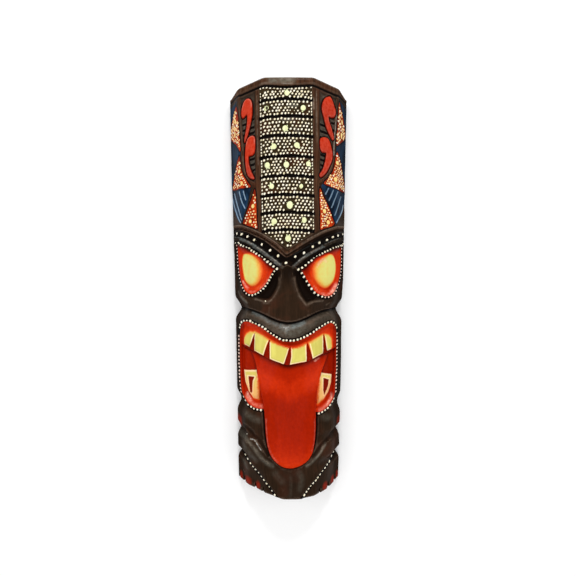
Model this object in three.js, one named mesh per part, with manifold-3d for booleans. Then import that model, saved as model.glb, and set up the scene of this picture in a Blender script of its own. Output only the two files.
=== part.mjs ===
import * as THREE from 'three';
import { mergeVertices } from 'three/addons/utils/BufferGeometryUtils.js';
import Module from 'manifold-3d';

// A tall wall mask carved from one half log. It lies on its back: +Y is its top, +Z its face.
// Sizes are in millimetres. Heights on the face are counted from y = 0, at the nostrils' level.
const topEnd = 250;
const footEnd = -254;
const maskHeight = topEnd - footEnd;
const maskDepth = 75;
const topHalfWidth = 78;
const footHalfWidth = 67.5;
const clear = 20;
const overlap = 1;

// The log's outline across, as share of half width and share of depth. The flat front facet,
// the slanted facets and the steep sides are the cuts of the adze. Below the mouth the body is
// cut back round the tongue, and the feet are cut to a keel.
const logFacets = [[0, 1], [0.38, 0.993], [0.818, 0.613], [1, 0.173]];
const bodyFacets = [[0, 0.82], [0.4, 0.81], [0.62, 0.73], [0.818, 0.58], [1, 0.165]];
const footFacets = [[0, 0.865], [0.22, 0.86], [0.53, 0.655], [0.83, 0.345], [1, 0.08]];
const bodyStart = -118;
const bodyFull = -146;
const footStart = -186;
const shares = [0, 0.2, 0.38, 0.5, 0.62, 0.72, 0.818, 0.91, 1];

// Heights at which the log is measured: far apart on the straight forehead, close below it.
const plainPitch = 60;
const carvedPitch = 6;
const carvedStart = 30;
const lowestFloor = 5;
const sideInset = 0.35;

// Waists in the sides: place along the mask, depth and reach up and down.
const waists = [
  { y: -25, depth: 7, reach: 15 },
  { y: -144, depth: 4.7, reach: 14 },
  { y: -184, depth: 3, reach: 10 },
  { y: -216, depth: 3.2, reach: 9 },
];

const rimBand = 8;
const panelDepth = 2.2;
const column = { topHalf: 32, footHalf: 31, shift: -2, low: 72, point: 45, depth: 1.6 };
const crossGroove = { count: 8, first: 226, pitch: 22.3, width: 3, depth: 3.2 };
const grooveInset = 0.5;
const panel = { inner: 39, outerTop: 74, outerFoot: 70, low: 75, lowOuter: 89 };

// Raised commas in the side panels: a round head and a tail that curls down, each a smooth curve
// through its points.
const commas = [
  [
    [58.3, 212], [58.4, 222], [55.5, 231.5], [50.5, 234.8], [45.8, 231], [44.3, 222], [44.6, 205],
    [47.5, 193], [52, 181], [55.2, 183], [51.3, 203], [50.2, 212],
  ],
  [
    [54.3, 169.5], [52.5, 179], [48, 186.3], [42.5, 183.5], [40.9, 176], [41.2, 166], [44.5, 162],
    [48.5, 159], [46.5, 148], [41.2, 135], [47.5, 137], [51.6, 143.8], [54, 156],
  ],
];
const commaSteps = 2;

const browTop = [[0, 38], [15, 46], [32, 58], [52, 70], [71, 78], [90, 80]];
const browLow = [[0, 24], [15, 34], [28, 43.5], [47, 56], [71, 67], [90, 69]];
const browDepth = 2.2;

const eye = { depth: 7, ballWidth: 12, ballLength: 16, ballRise: 8, x: 46.4, y: 23, sunk: 7 };
const ballRound = 16;
const ballRings = 10;
const eyeOutline = [
  [13, 23.8], [24, 31.4], [33, 38.4], [43, 44.6], [54, 51], [68, 58], [68.5, 46], [67, 30],
  [64.5, 15], [60.5, 3], [54, -6.5], [45, -9.5], [36, -6.2], [29, 0], [23, 8.8], [17, 19],
];

const pocketDepth = 9;
const pocketOutline = [
  [13, 17], [15, 2], [21, -11], [28, -17], [41, -13.5], [34, -9], [26, -1.5], [20, 8],
];
const bridgeSide = [[13.5, 32.5], [11.5, 17], [13.5, 2], [18, -9]];
const bridge = { y: 30, z: 65, endY: -9 };

const lipGroove = [[0, -41], [18, -37], [36, -31], [44, -29], [64, -25], [90, -24]];
const lipGrooveWidth = 3.5;
const lipGrooveDepth = 5;

const mouthDepth = 14;
const mouthTop = [
  [0, -62], [12, -58.6], [21, -53], [32, -46.6], [43, -42], [53, -40], [60, -42.5], [64, -50],
];
const mouthSide = [[64.5, -60], [64, -118], [61, -135], [54, -145], [44, -150], [30, -150]];
const gumDepth = 7;
const toothDepth = 4;
const gumLow = [[58, -66], [48, -79], [32, -86], [22, -90], [0, -93]];
const teeth = [
  [[-1.6, -73.5], [-5.6, -90.2], [-22.3, -84.5], [-21.8, -66.7]],
  [[-25.4, -62.7], [-30.4, -80.6], [-42.4, -76.5], [-41.3, -56]],
  [[-43.6, -55.7], [-50.2, -71.1], [-54.9, -69.6], [-53.8, -58.5]],
  [[3.1, -73.5], [21.8, -70.5], [21.8, -86.5], [1.1, -90.7]],
  [[24.9, -65.8], [41.9, -60.4], [42.5, -81.4], [28.8, -83.9]],
  [[46, -59.2], [52.7, -58.3], [53.2, -75.4], [48.4, -77.4]],
];
const fangDepth = 8;
const fang = [[38.7, -101], [56, -107], [54, -121], [48, -134], [38, -140], [36, -128]];

const tongue = {
  root: -72, tip: -213.5, halfWidth: 31, rootHalf: 48, neck: -120, round: 32, centre: 2, tipShare: 0.1,
};
const tongueShares = [0, 0.25, 0.5, 0.75, 0.92, 1];
const tongueProfile = [[-72, 60], [-100, 66], [-126, 70], [-165, 69], [-200, 73], [-213.5, 70]];
const tongueCrown = 4.5;
const tongueFloor = 35;
const tongueSteps = 26;
const tongueGathering = 1.6;

const armGroove = [[66, -185], [53, -183.5], [43, -188.5], [34, -196], [22, -203]];
const armGrooveWidth = 3.5;
const armGrooveDepth = 4;
const footLine = [[90, -216], [60, -217.5], [47.4, -222], [35, -230.5], [25, -241], [14, -256]];
const footDepth = 3.5;
const toeNotches = [{ x: 62, z: 10 }, { x: 51, z: 27 }, { x: 37, z: 43 }];
const toeRadius = 3.4;
const toeEndRadius = 0.6;
const toeLength = 15;

// The hollow back: half sizes at the rim and at its flat roof. Its cutter starts below the rim.
const hollow = { halfWidth: 52, roofHalfWidth: 42, halfLength: 228, depth: 30, start: -3 };

const wasm = await Module();
wasm.setup();

const lerp = (a, b, t) => a + (b - a) * t;

function along(points, x) {
  const last = points.length - 1;
  if (x <= points[0][0]) return points[0][1];
  for (let i = 0; i < last; i++) {
    const [x0, y0] = points[i];
    const [x1, y1] = points[i + 1];
    if (x <= x1) return lerp(y0, y1, (x - x0) / (x1 - x0));
  }
  return points[last][1];
}

function toSolid(geometry) {
  const bare = geometry.index ? geometry.toNonIndexed() : geometry.clone();
  bare.deleteAttribute('normal');
  bare.deleteAttribute('uv');
  const merged = mergeVertices(bare, 1e-4);
  const places = new Float32Array(merged.attributes.position.array);
  const corners = [];
  for (let i = 0; i < merged.index.count; i += 3) {
    const [a, b, c] = [0, 1, 2].map((k) => merged.index.getX(i + k));
    if (a !== b && b !== c && c !== a) corners.push(a, b, c);
  }
  return new wasm.Manifold(new wasm.Mesh({
    numProp: 3, vertProperties: places, triVerts: new Uint32Array(corners),
  }));
}

function toGeometry(solid) {
  const mesh = solid.getMesh();
  const geometry = new THREE.BufferGeometry();
  geometry.setAttribute('position', new THREE.BufferAttribute(mesh.vertProperties, 3));
  geometry.setIndex(new THREE.BufferAttribute(mesh.triVerts, 1));
  return geometry;
}

// A solid whose section changes along Y, from the lowest of the heights to the highest. section(y)
// gives its ring of points from the middle of the front round by +X, and its middle.
function loft(heights, around, section) {
  const steps = heights.length - 1;
  const geometry = new THREE.CylinderGeometry(1, 1, 1, around, steps);
  const place = geometry.attributes.position;
  for (let i = 0; i < place.count; i++) {
    const y = heights[Math.round((place.getY(i) + 0.5) * steps)];
    const ring = section(y);
    const radius = Math.hypot(place.getX(i), place.getZ(i));
    const turn = Math.atan2(place.getX(i), place.getZ(i)) / (2 * Math.PI);
    const at = Math.round((turn + 1) * around) % around;
    const [x, z] = radius > 0.5 ? ring.points[at] : ring.middle;
    place.setXYZ(i, x, y, z);
  }
  return toSolid(geometry);
}

function halfWidth(y) {
  let width = lerp(footHalfWidth, topHalfWidth, (y - footEnd) / maskHeight);
  for (const waist of waists) {
    const away = Math.abs(y - waist.y) / waist.reach;
    if (away < 1) width -= waist.depth * (1 + Math.cos(Math.PI * away)) / 2;
  }
  return width;
}

function logHeight(share, y) {
  const body = THREE.MathUtils.smoothstep(-y, -bodyStart, -bodyFull);
  const foot = THREE.MathUtils.smoothstep(-y, -footStart, -footEnd);
  const upper = lerp(along(logFacets, share), along(bodyFacets, share), body);
  return maskDepth * lerp(upper, along(footFacets, share), foot);
}

function measuredHeights(low, high) {
  const heights = [low];
  for (let y = footEnd + carvedPitch; y < carvedStart; y += carvedPitch) heights.push(y);
  for (let y = carvedStart; y < topEnd; y += plainPitch) heights.push(y);
  return [...heights, high];
}

// The log with its front lowered by depth: the floor of a recess, or with depth 0 the log itself.
function logSolid(depth, low = footEnd, high = topEnd) {
  const back = depth > 0 ? -1 : 0;
  const section = (y) => {
    const half = halfWidth(THREE.MathUtils.clamp(y, footEnd, topEnd)) - depth * sideInset;
    const right = shares.map((s) => [s * half, Math.max(logHeight(s, y) - depth, lowestFloor)]);
    const left = right.slice(1).reverse().map(([x, z]) => [-x, z]);
    const under = [[half, back], [0, back], [-half, back]];
    return { points: [...right, ...under, ...left], middle: [0, maskDepth / 2 - depth / 2] };
  };
  return loft(measuredHeights(low, high), 2 * shares.length + 2, section);
}

const floors = new Map();
function floorAt(depth) {
  if (!floors.has(depth)) {
    floors.set(depth, logSolid(depth, footEnd - clear, topEnd + clear));
  }
  return floors.get(depth);
}

function prism(outline) {
  const shape = new THREE.Shape(outline.map(([x, y]) => new THREE.Vector2(x, y)));
  const geometry = new THREE.ExtrudeGeometry(shape, { depth: maskDepth + clear, bevelEnabled: false });
  return toSolid(geometry);
}

const mirrored = (outline) => outline.map(([x, y]) => [-x, y]).reverse();
const both = (outline) => [outline, mirrored(outline)];
const recess = (outline, depth) => prism(outline).subtract(floorAt(depth));
const filled = (outline, depth) => prism(outline).intersect(floorAt(depth));

// A closed band between two lines that run from the middle outwards, on both sides.
function vBand(upper, lower) {
  const whole = (line) => [...mirrored(line), ...line.filter(([x]) => x > 0)];
  return [...whole(upper), ...whole(lower).reverse()];
}

const shifted = (line, dy) => line.map(([x, y]) => [x, y + dy]);

function forehead() {
  const { topHalf, footHalf, shift, low, point, depth } = column;
  const top = topEnd - rimBand;
  const outline = [
    [shift - topHalf, top], [shift - footHalf, low], [0, point], [footHalf, low], [topHalf + shift, top],
  ];
  const cuts = [recess(outline, depth)];
  for (let i = 0; i < crossGroove.count; i++) {
    const y = crossGroove.first - i * crossGroove.pitch;
    const half = lerp(footHalf, topHalf, (y - low) / (top - low)) - grooveInset;
    const [up, down] = [y + crossGroove.width / 2, y - crossGroove.width / 2];
    const bar = [[shift - half, down], [half, down], [half, up], [shift - half, up]];
    cuts.push(recess(bar, crossGroove.depth));
  }
  return cuts;
}

function smooth(points) {
  const [start, ...rest] = [...points, points[0]].map(([x, y]) => new THREE.Vector2(x, y));
  const outline = new THREE.Path([start]).splineThru(rest).getPoints(commaSteps);
  return outline.slice(1).map(({ x, y }) => [x, y]);
}

function sidePanels() {
  const { inner, outerTop, outerFoot, low, lowOuter } = panel;
  const top = topEnd - rimBand;
  const outline = [[inner, top], [inner, low], [outerFoot, lowOuter], [outerTop, top]];
  const cuts = [];
  for (const side of both(outline)) cuts.push(recess(side, panelDepth));
  for (const line of commas) {
    for (const side of both(smooth(line))) {
      for (let i = 0; i < 2; i++) cuts[i] = cuts[i].subtract(prism(side));
    }
  }
  return cuts;
}

function eyeSockets() {
  return both(eyeOutline).map((outline) => recess(outline, eye.depth));
}

function eyeballs() {
  const [, front, slant] = logFacets;
  const rise = maskDepth * (front[1] - slant[1]);
  const run = halfWidth(eye.y) * (slant[0] - front[0]);
  const tilt = Math.atan2(rise, run);
  const surface = logHeight(eye.x / halfWidth(eye.y), eye.y);
  return [1, -1].map((side) => {
    const ball = new THREE.SphereGeometry(1, ballRound, ballRings);
    ball.scale(eye.ballWidth, eye.ballLength, eye.ballRise);
    ball.rotateY(side * tilt);
    ball.translate(
      side * (eye.x - eye.sunk * Math.sin(tilt)), eye.y, surface - eye.sunk * Math.cos(tilt),
    );
    return toSolid(ball);
  });
}

// The wedge of wood cut off the nose's bridge, so that the nose rises from the brow to its tip.
function bridgeWedge() {
  const { y, z, endY } = bridge;
  const side = new THREE.Shape();
  side.moveTo(y + clear, z - clear * (maskDepth - z) / (y - endY));
  side.lineTo(y + clear, maskDepth + clear);
  side.lineTo(endY, maskDepth + clear);
  side.lineTo(endY, maskDepth);
  const wedge = new THREE.ExtrudeGeometry(side, { depth: 2 * clear, bevelEnabled: false });
  wedge.rotateY(Math.PI / 2);
  wedge.rotateX(Math.PI / 2);
  wedge.translate(-clear, 0, 0);
  return toSolid(wedge);
}

function nose() {
  const cuts = both(pocketOutline).map((outline) => recess(outline, pocketDepth));
  const bridgeOutline = [[0, 24.5], ...bridgeSide, ...mirrored(bridgeSide)];
  cuts.push(prism(bridgeOutline).intersect(bridgeWedge()));
  const half = lipGrooveWidth / 2;
  cuts.push(recess(vBand(shifted(lipGroove, half), shifted(lipGroove, -half)), lipGrooveDepth));
  return cuts;
}

function mouthCut() {
  return recess(vBand(mouthTop, [...mouthSide].reverse()), mouthDepth);
}

function mouthFillings() {
  const gum = filled(vBand(shifted(mouthTop, overlap), [...gumLow].reverse()), gumDepth);
  const upper = teeth.map((outline) => filled(outline, toothDepth));
  const lower = both(fang).map((outline) => filled(outline, fangDepth));
  return [gum, ...upper, ...lower];
}

function tongueSolid() {
  const { root, tip, halfWidth: body, rootHalf, neck, round, centre, tipShare } = tongue;
  const section = (y) => {
    const fade = THREE.MathUtils.smoothstep(-y, -root, -neck);
    let half = lerp(rootHalf, body, fade);
    const past = (tip + round - y) / round;
    if (past > 0) half *= Math.sqrt(Math.max(1 - past * past, tipShare * tipShare));
    const crest = along([...tongueProfile].reverse(), y);
    const top = (s) => [centre + s * half, crest - tongueCrown * s * s];
    const right = tongueShares.map(top);
    const left = tongueShares.slice(1).reverse().map((s) => top(-s));
    const under = [[centre + half, tongueFloor], [centre, tongueFloor], [centre - half, tongueFloor]];
    return { points: [...right, ...under, ...left], middle: [centre, (crest + tongueFloor) / 2] };
  };
  const heights = [];
  for (let i = 0; i <= tongueSteps; i++) {
    heights.push(lerp(tip, root, (i / tongueSteps) ** tongueGathering));
  }
  return loft(heights, 2 * tongueShares.length + 2, section);
}

function lowerBody() {
  const cuts = [];
  const half = armGrooveWidth / 2;
  for (const line of both(armGroove)) {
    cuts.push(recess([...shifted(line, half), ...shifted(line, -half).reverse()], armGrooveDepth));
  }
  for (const line of both([...footLine, [90, footEnd - 2]])) cuts.push(recess(line, footDepth));
  for (const { x, z } of toeNotches) {
    for (const side of [1, -1]) {
      const notch = new THREE.CylinderGeometry(toeEndRadius, toeRadius, toeLength, 8);
      notch.translate(side * x, footEnd + toeLength / 2 - 1, z);
      cuts.push(toSolid(notch));
    }
  }
  return cuts;
}

function hollowBack() {
  const { halfWidth: half, roofHalfWidth, halfLength, depth, start } = hollow;
  const flare = (half - roofHalfWidth) * start / depth;
  const wall = [[half - flare, start], [roofHalfWidth, depth]];
  const outline = [...wall, ...mirrored(wall)];
  const shape = new THREE.Shape(outline.map(([x, z]) => new THREE.Vector2(x, z)));
  const trough = new THREE.ExtrudeGeometry(shape, { depth: 2 * halfLength, bevelEnabled: false });
  trough.rotateX(Math.PI / 2);
  trough.translate(0, halfLength, 0);
  return toSolid(trough);
}

function carvedMask() {
  let solid = logSolid(0);
  const brow = recess(vBand(browTop, browLow), browDepth);
  const cuts = [...forehead(), ...sidePanels(), brow, ...eyeSockets(), ...nose(), mouthCut()];
  for (const cut of [...cuts, ...lowerBody()]) solid = solid.subtract(cut);
  for (const part of [...eyeballs(), ...mouthFillings(), tongueSolid()]) solid = solid.add(part);
  return toGeometry(solid.subtract(hollowBack()));
}

const stainedWood = new THREE.MeshStandardMaterial({ color: 0x2e211a, roughness: 0.45, metalness: 0 });
const mask = new THREE.Mesh(carvedMask(), stainedWood);
mask.name = 'carved_mask';
mask.position.y = -(topEnd + footEnd) / 2;

const tikiMask = new THREE.Group();
tikiMask.add(mask);

export default tikiMask;
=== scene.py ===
import math
import random

import bmesh
import bpy
import numpy as np
from mathutils import Matrix, Vector, noise


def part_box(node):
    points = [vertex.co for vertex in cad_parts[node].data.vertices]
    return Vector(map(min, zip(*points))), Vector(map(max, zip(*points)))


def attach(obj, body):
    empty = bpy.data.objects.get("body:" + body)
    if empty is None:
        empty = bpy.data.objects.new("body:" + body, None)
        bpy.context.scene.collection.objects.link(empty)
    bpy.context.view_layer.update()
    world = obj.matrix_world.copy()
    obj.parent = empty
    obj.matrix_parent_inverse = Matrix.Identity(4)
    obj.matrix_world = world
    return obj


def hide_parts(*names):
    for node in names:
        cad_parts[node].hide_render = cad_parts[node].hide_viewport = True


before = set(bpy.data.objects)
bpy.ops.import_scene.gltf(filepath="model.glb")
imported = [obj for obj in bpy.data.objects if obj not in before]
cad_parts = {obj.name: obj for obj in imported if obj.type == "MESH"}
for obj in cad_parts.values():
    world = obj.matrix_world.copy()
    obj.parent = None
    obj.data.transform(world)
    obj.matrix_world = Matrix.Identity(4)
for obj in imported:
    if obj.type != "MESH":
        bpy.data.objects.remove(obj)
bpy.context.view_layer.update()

mm = 0.001
scene = bpy.context.scene

# Everything on the face is drawn in millimetres, as seen from straight above. The drawing's zero is
# at the nostrils, faceZero above the middle of the mask.
faceZero = 2.0
low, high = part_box("carved_mask")
log = {
    "top": high[1] / mm - faceZero + 0.8,
    "foot": low[1] / mm - faceZero - 0.8,
    "topHalf": high[0] / mm,
    "footHalf": 67.5,
    "depth": high[2] / mm,
    "upper": ([0, 0.38, 0.818, 1], [1, 0.993, 0.613, 0.173]),  # share of half width, share of depth
    "body": ([0, 0.4, 0.62, 0.818, 1], [0.82, 0.81, 0.73, 0.58, 0.165]),
    "leftFoot": ([0, 0.1, 0.3, 0.42, 0.55, 0.78, 1], [0.89, 0.885, 0.77, 0.7, 0.56, 0.38, 0.06]),
    "rightFoot": ([0, 0.24, 0.47, 0.72, 0.86, 1], [0.89, 0.88, 0.79, 0.54, 0.32, 0.06]),
    "bodyFrom": (-118, -146),
    "feetFrom": (-186, -254),
    "softness": 0.03,
    "endRound": 0.7,
    "lowest": 4.0,
}
waists = {  # on each side the cuts that part brow, mouth, arms and feet: place, depth, reach
    -1: [(-24.5, 7.6, 17), (-145.5, 5.2, 15), (-184.5, 4.6, 10), (-217, 5.2, 9)],
    1: [(-27, 7.4, 17), (-149.5, 4, 15), (-186, 5.4, 10), (-218, 6.8, 10)],
}
shaved = {  # height, and how much of the side is shaved off there
    -1: [(-250, 0.3), (-225, 0.5), (-200, 1.2), (-170, 1.6), (-60, 1.8), (44, 1.5), (60, 1), (120, 0.8),
        (140, 0)],
    1: [(-225, 0), (-207, 0.2), (-197, 1.2), (-188, 0.4), (-165, 0.6), (-90, 0.6), (-70, 1), (-5, 1),
        (10, 0), (100, 0), (115, 0.6), (130, 0.1), (150, 0.4), (215, 0.3)],
}

grid = {"columns": 106, "rows": 230, "nearFirst": 2.0, "nearSecond": 0.58}
farAway = 9.0  # distances to the next cut aren't followed beyond this
ridgeNear = 1.0  # a soft ridge counts as this much further off than a cut


def smooth(t):
    t = np.clip(t, 0, 1)
    return t * t * (3 - 2 * t)


def lerp(a, b, t):
    return a + (b - a) * t


def bell(value, width):
    return np.exp(-(value / width) ** 2)


def decay(value, width, most):
    return np.exp(-np.clip(value, 0, most) / width)


def halfWidth(x, y):
    width = lerp(log["footHalf"], log["topHalf"], (y - log["foot"]) / (log["top"] - log["foot"]))
    for side in (-1, 1):
        cut = np.interp(y, *zip(*shaved[side]))
        for place, depth, reach in waists[side]:
            away = np.clip(np.abs(y - place) / reach, 0, 1)
            cut = cut + depth * (1 + np.cos(np.pi * away)) / 2
        width = width - cut * (np.sign(x) == side)
    return width


def facets(table, share):
    # the adze's facets, with their corners worn round
    steps = [share + k * log["softness"] for k in (-1, -0.5, 0, 0.5, 1)]
    return sum(np.interp(np.abs(s), *table) for s in steps) / len(steps)


def logHeight(x, y):
    share = np.abs(x) / halfWidth(x, y)
    body = smooth((y - log["bodyFrom"][0]) / (log["bodyFrom"][1] - log["bodyFrom"][0]))
    feet = smooth((y - log["feetFrom"][0]) / (log["feetFrom"][1] - log["feetFrom"][0]))
    height = lerp(facets(log["upper"], share), facets(log["body"], share), body)
    foot = np.where(x < 0, facets(log["leftFoot"], share), facets(log["rightFoot"], share))
    return log["depth"] * lerp(height, foot, feet)


def curve(points, closed=False, steps=4):
    # a smooth line through the points
    ring = np.array(points, float)
    if closed:
        ring = np.vstack([ring[-1], ring, ring[0], ring[1]])
    else:
        ring = np.vstack([2 * ring[0] - ring[1], ring, 2 * ring[-1] - ring[-2]])
    line = []
    for a, b, c, d in zip(ring[:-3], ring[1:-2], ring[2:-1], ring[3:]):
        for t in np.arange(steps) / steps:
            line.append(0.5 * (2 * b + (c - a) * t + (2 * a - 5 * b + 4 * c - d) * t**2
                               + (3 * b - a - 3 * c + d) * t**3))
    if not closed:
        line.append(ring[-2])
    return np.array(line)


def along(line, pitch):
    # places a pitch apart along a line
    line = np.array(line, float)
    lengths = np.hypot(*np.diff(line, axis=0).T)
    marks = np.concatenate([[0], np.cumsum(lengths)])
    count = max(1, round(marks[-1] / pitch))
    at = np.arange(count + 1) * marks[-1] / count
    return np.column_stack([np.interp(at, marks, line[:, 0]), np.interp(at, marks, line[:, 1])])


class Carving:
    # How deep the face is cut at each place, which paint lies there, how near a cut's edge is, and the marks
    # of wear, grey, painted shade and painted highlight.

    def __init__(self, x, y):
        self.x, self.y = np.asarray(x, float), np.asarray(y, float)
        self.depth = np.zeros(self.x.shape)
        self.near = np.full(self.x.shape, farAway)
        self.paints = {name: np.full(self.x.shape, -farAway) for name in paintNames}
        self.marks = {name: np.zeros(self.x.shape) for name in markNames}
        self.warmth = np.full(self.x.shape, 0.5)

    def away(self, line, reach=farAway, edge=True):
        # distance from a line, no further than reach
        line = np.array(line, float)
        best = np.full(self.x.shape, float(reach))
        (x0, y0), (x1, y1) = line.min(axis=0) - reach, line.max(axis=0) + reach
        near = np.flatnonzero((self.x > x0) & (self.x < x1) & (self.y > y0) & (self.y < y1))
        px, py, found = self.x[near], self.y[near], best[near]
        for (ax, ay), (bx, by) in zip(line[:-1], line[1:]):
            dx, dy = bx - ax, by - ay
            t = np.clip(((px - ax) * dx + (py - ay) * dy) / max(dx * dx + dy * dy, 1e-9), 0, 1)
            found = np.minimum(found, np.hypot(px - ax - t * dx, py - ay - t * dy))
        best[near] = found
        if edge:
            self.meet(best)
        return best

    def inside(self, outline, reach=farAway, edge=True):
        # distance inside a closed outline, negative outside it
        ring = np.vstack([outline, outline[:1]])
        distance = self.away(ring, reach, edge)
        within = np.zeros(self.x.shape, bool)
        for (ax, ay), (bx, by) in zip(ring[:-1], ring[1:]):
            if ay != by:
                crosses = (self.y > min(ay, by)) & (self.y <= max(ay, by))
                within ^= crosses & (self.x < ax + (self.y - ay) * (bx - ax) / (by - ay))
        return np.where(within, distance, -distance)

    def insideCurve(self, points, steps=4, **how):
        return self.inside(curve(points, True, steps), **how)

    def cut(self, amount):
        self.depth = self.depth + amount

    def meet(self, distance):
        self.near = np.minimum(self.near, distance)

    def tone(self, where, warmth):
        self.warmth = np.where(where, warmth, self.warmth)

    def sink(self, distance, amount, wall):
        self.depth = np.maximum(self.depth, amount * smooth(distance / wall))

    def deepen(self, where, depth):
        self.depth = np.where(where, np.maximum(self.depth, depth), self.depth)

    def lift(self, where, depth):
        self.depth = np.where(where, np.minimum(self.depth, depth), self.depth)

    def ridge(self, line, width, amount):
        distance = self.away(line, edge=False)
        self.meet(distance + ridgeNear)
        self.cut(-amount * np.clip(1 - (2 * distance / width) ** 2, 0, 1))
        return distance

    def paint(self, name, distance):
        self.paints[name] = np.maximum(self.paints[name], distance)

    def wipe(self, name, distance):
        self.paints[name] = np.minimum(self.paints[name], -distance)

    def mark(self, name, amount):
        self.marks[name] = np.maximum(self.marks[name], amount)

    def streaks(self, kinds):
        # soft lines of wear, grey, painted shade or painted highlight: strength, width and the line
        for name, lines in kinds.items():
            for strength, width, points in lines:
                distance = self.away(curve(points), reach=width, edge=False)
                self.mark(name, strength * smooth(1.1 - 2 * distance / width))


paintNames = ["black", "rail", "ground", "blue", "stripe", "orange", "warm", "tooth", "toe"]
# Marks: grey; painted shade; cool painted highlight; wear with painted highlight; painted highlight, also
# used once as an even tint; the teeth's inner paint; the fangs' amber.
markNames = ["grey", "paintedShade", "coolHighlight", "wearAndHighlight", "shine", "toothInner", "amber"]


# The forehead: a rim band, a column of dotted panels between two rails, and a side panel on each
# side with raised commas.
column = {
    "outline": [(-35.5, 241), (-32.5, 74), (-31, 67), (-0.5, 46.5), (30, 66), (31, 72), (28.5, 241)],
    "depth": 1.8,
    "wall": 1.4,
    "grooves": [226, 205.5, 182.5, 158, 134.5, 112, 91, 70],
    "arch": 2.2,
    "half": 33,
    "width": 3.6,
    "cut": 2.0,
}
rails = [
    [(-40, 241), (-39.5, 130), (-38.5, 71), (-31.5, 66.5), (-32.5, 76), (-36, 241)],
    [(28.5, 241), (31, 76), (30, 65.5), (37.5, 71), (37, 130), (36.5, 241)],
]
rimBand = {"height": 241.6, "width": 4, "cut": 2.6, "bendFrom": 60, "bend": 0.3, "sag": 1.6}
forehead = {
    "panelDepth": 2.4,
    "panelWall": 1.6,
    "railWidth": 3.4,
    "railRise": 0.5,
    "hatchCut": 1.5,
    "orangeCut": 0.8,
    "stripeHalf": 0.62,
    "commaRise": 2.9,
    "commaRound": 2.6,
    "commaCut": 0.9,
}
sidePanels = [
    [(-41, 238), (-40.5, 127.5), (-43.5, 129.5), (-48.5, 133.5), (-52.5, 140.5), (-55, 149), (-56, 158),
     (-56, 171), (-57.5, 189), (-59.5, 207), (-60.5, 238)],
    [(37.5, 238), (38, 130.5), (42.5, 135.5), (49.5, 145), (53.5, 157), (55.5, 170), (56, 189), (57.5, 206),
     (58.5, 220), (60.5, 238)],
]
outerRails = [
    [(-62, 240), (-62, 228), (-61, 207), (-59, 189), (-57.5, 172), (-58, 157), (-56.5, 148), (-53.5, 139.5),
     (-49, 132), (-43, 128), (-39.5, 126)],
    [(62, 240), (60, 220), (59, 206), (57.5, 189), (56.5, 175), (57, 168), (55, 156), (51, 144), (44, 134.5),
     (37.5, 129)],
]
commas = [
    [(-59, 217), (-58.5, 225), (-55.5, 232.5), (-51, 234.5), (-46.5, 231.5), (-44.5, 225), (-44.5, 212),
     (-46.5, 202), (-50, 190), (-54, 181.5), (-55, 186), (-52, 200), (-51, 209), (-51.5, 215), (-55, 213),
     (-57.5, 213)],
    [(-53.8, 171), (-52.5, 180.5), (-49.5, 186), (-45, 187), (-41.5, 184.5), (-40.5, 178), (-41, 166),
     (-44.5, 163), (-49, 163), (-49, 156), (-48, 150.5), (-45, 142), (-41.5, 134), (-45.5, 134.5),
     (-50, 139), (-52.5, 146.5), (-54, 159.5)],
    [(51, 237), (54.5, 234), (57.5, 227), (59, 220), (57.5, 214.5), (53.5, 212), (49.5, 212), (50.5, 206),
     (54, 198), (56.5, 188), (55, 184.5), (51, 189.5), (46, 198.5), (43, 209), (40.5, 217.5), (41.5, 226),
     (45, 233)],
    [(44, 185), (49, 184.5), (52, 179.5), (54, 172.5), (54.8, 166), (54, 159), (51, 151.5), (46.5, 142.5),
     (39.5, 135), (37.5, 137.5), (41.5, 145), (44, 152.5), (46, 162), (46, 166.5), (41, 166), (38.5, 169.5),
     (38, 176), (39, 182)],
]
hatches = [  # height, from, to, thickness
    (206.5, -47.5, -41.5, 2.6), (197, -49, -41.5, 3.2), (190.5, -51, -41, 3.2), (204, -57.5, -51.5, 3),
    (197, -57, -53.5, 2.8), (191, -56.5, -54.5, 2.6), (158.5, -48, -41, 3.4), (151.5, -46.5, -41, 3.2),
    (144.5, -44, -40.5, 3), (199, 38, 46, 3), (191, 38, 49, 3.4), (183.5, 38, 42, 3), (206, 53, 57.5, 3),
    (197, 54, 57, 3), (190.5, 55.5, 57, 2.6), (162.5, 38.5, 45.5, 3.4), (156.5, 38.5, 44.5, 3.2),
    (150, 38.5, 42.5, 3), (144, 38.5, 40, 2.6),
]
orangePanels = [
    [(-67, 233), (-64.5, 223), (-63, 208), (-62, 194), (-60, 174.5), (-61.5, 173), (-67, 184), (-76.5, 198),
     (-77, 206.5), (-75, 219), (-71, 226.5)],
    [(-62, 166.5), (-60, 157), (-58.5, 147), (-54.5, 137.5), (-46.5, 125.5), (-50, 124.5), (-63.5, 126.5),
     (-74.5, 131), (-72, 140), (-69.5, 150), (-66, 159)],
    [(-41, 121), (-39.5, 110), (-39, 98), (-38.5, 85), (-37.5, 72.5), (-43.5, 75), (-56.5, 81), (-53, 91),
     (-49, 101.5), (-44.5, 112)],
    [(64.5, 236), (67.5, 230), (70.5, 224), (73, 217.5), (75.5, 209), (76, 200.5), (67.5, 187.5),
     (60.5, 179), (60.5, 190), (61.5, 201), (62, 213), (63, 226)],
    [(61.5, 171.5), (65, 166.5), (68, 161), (70.5, 152.5), (73.5, 143), (75, 128.5), (63.5, 125.5),
     (52.5, 126), (43, 128), (48.5, 135.5), (55.5, 146.5), (58, 157), (59.5, 166)],
    [(38, 122), (41.5, 114.5), (46, 107), (50.5, 98.5), (54.5, 88.5), (57.5, 81.5), (54, 77.5), (42, 72.5),
     (38.5, 72.5), (38.5, 91.5), (37.5, 110.5)],
]
dotPitches = [2.6, 2.95, 3.5, 2.7, 2.8, 2.95]  # of the small dots on each orange panel
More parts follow.
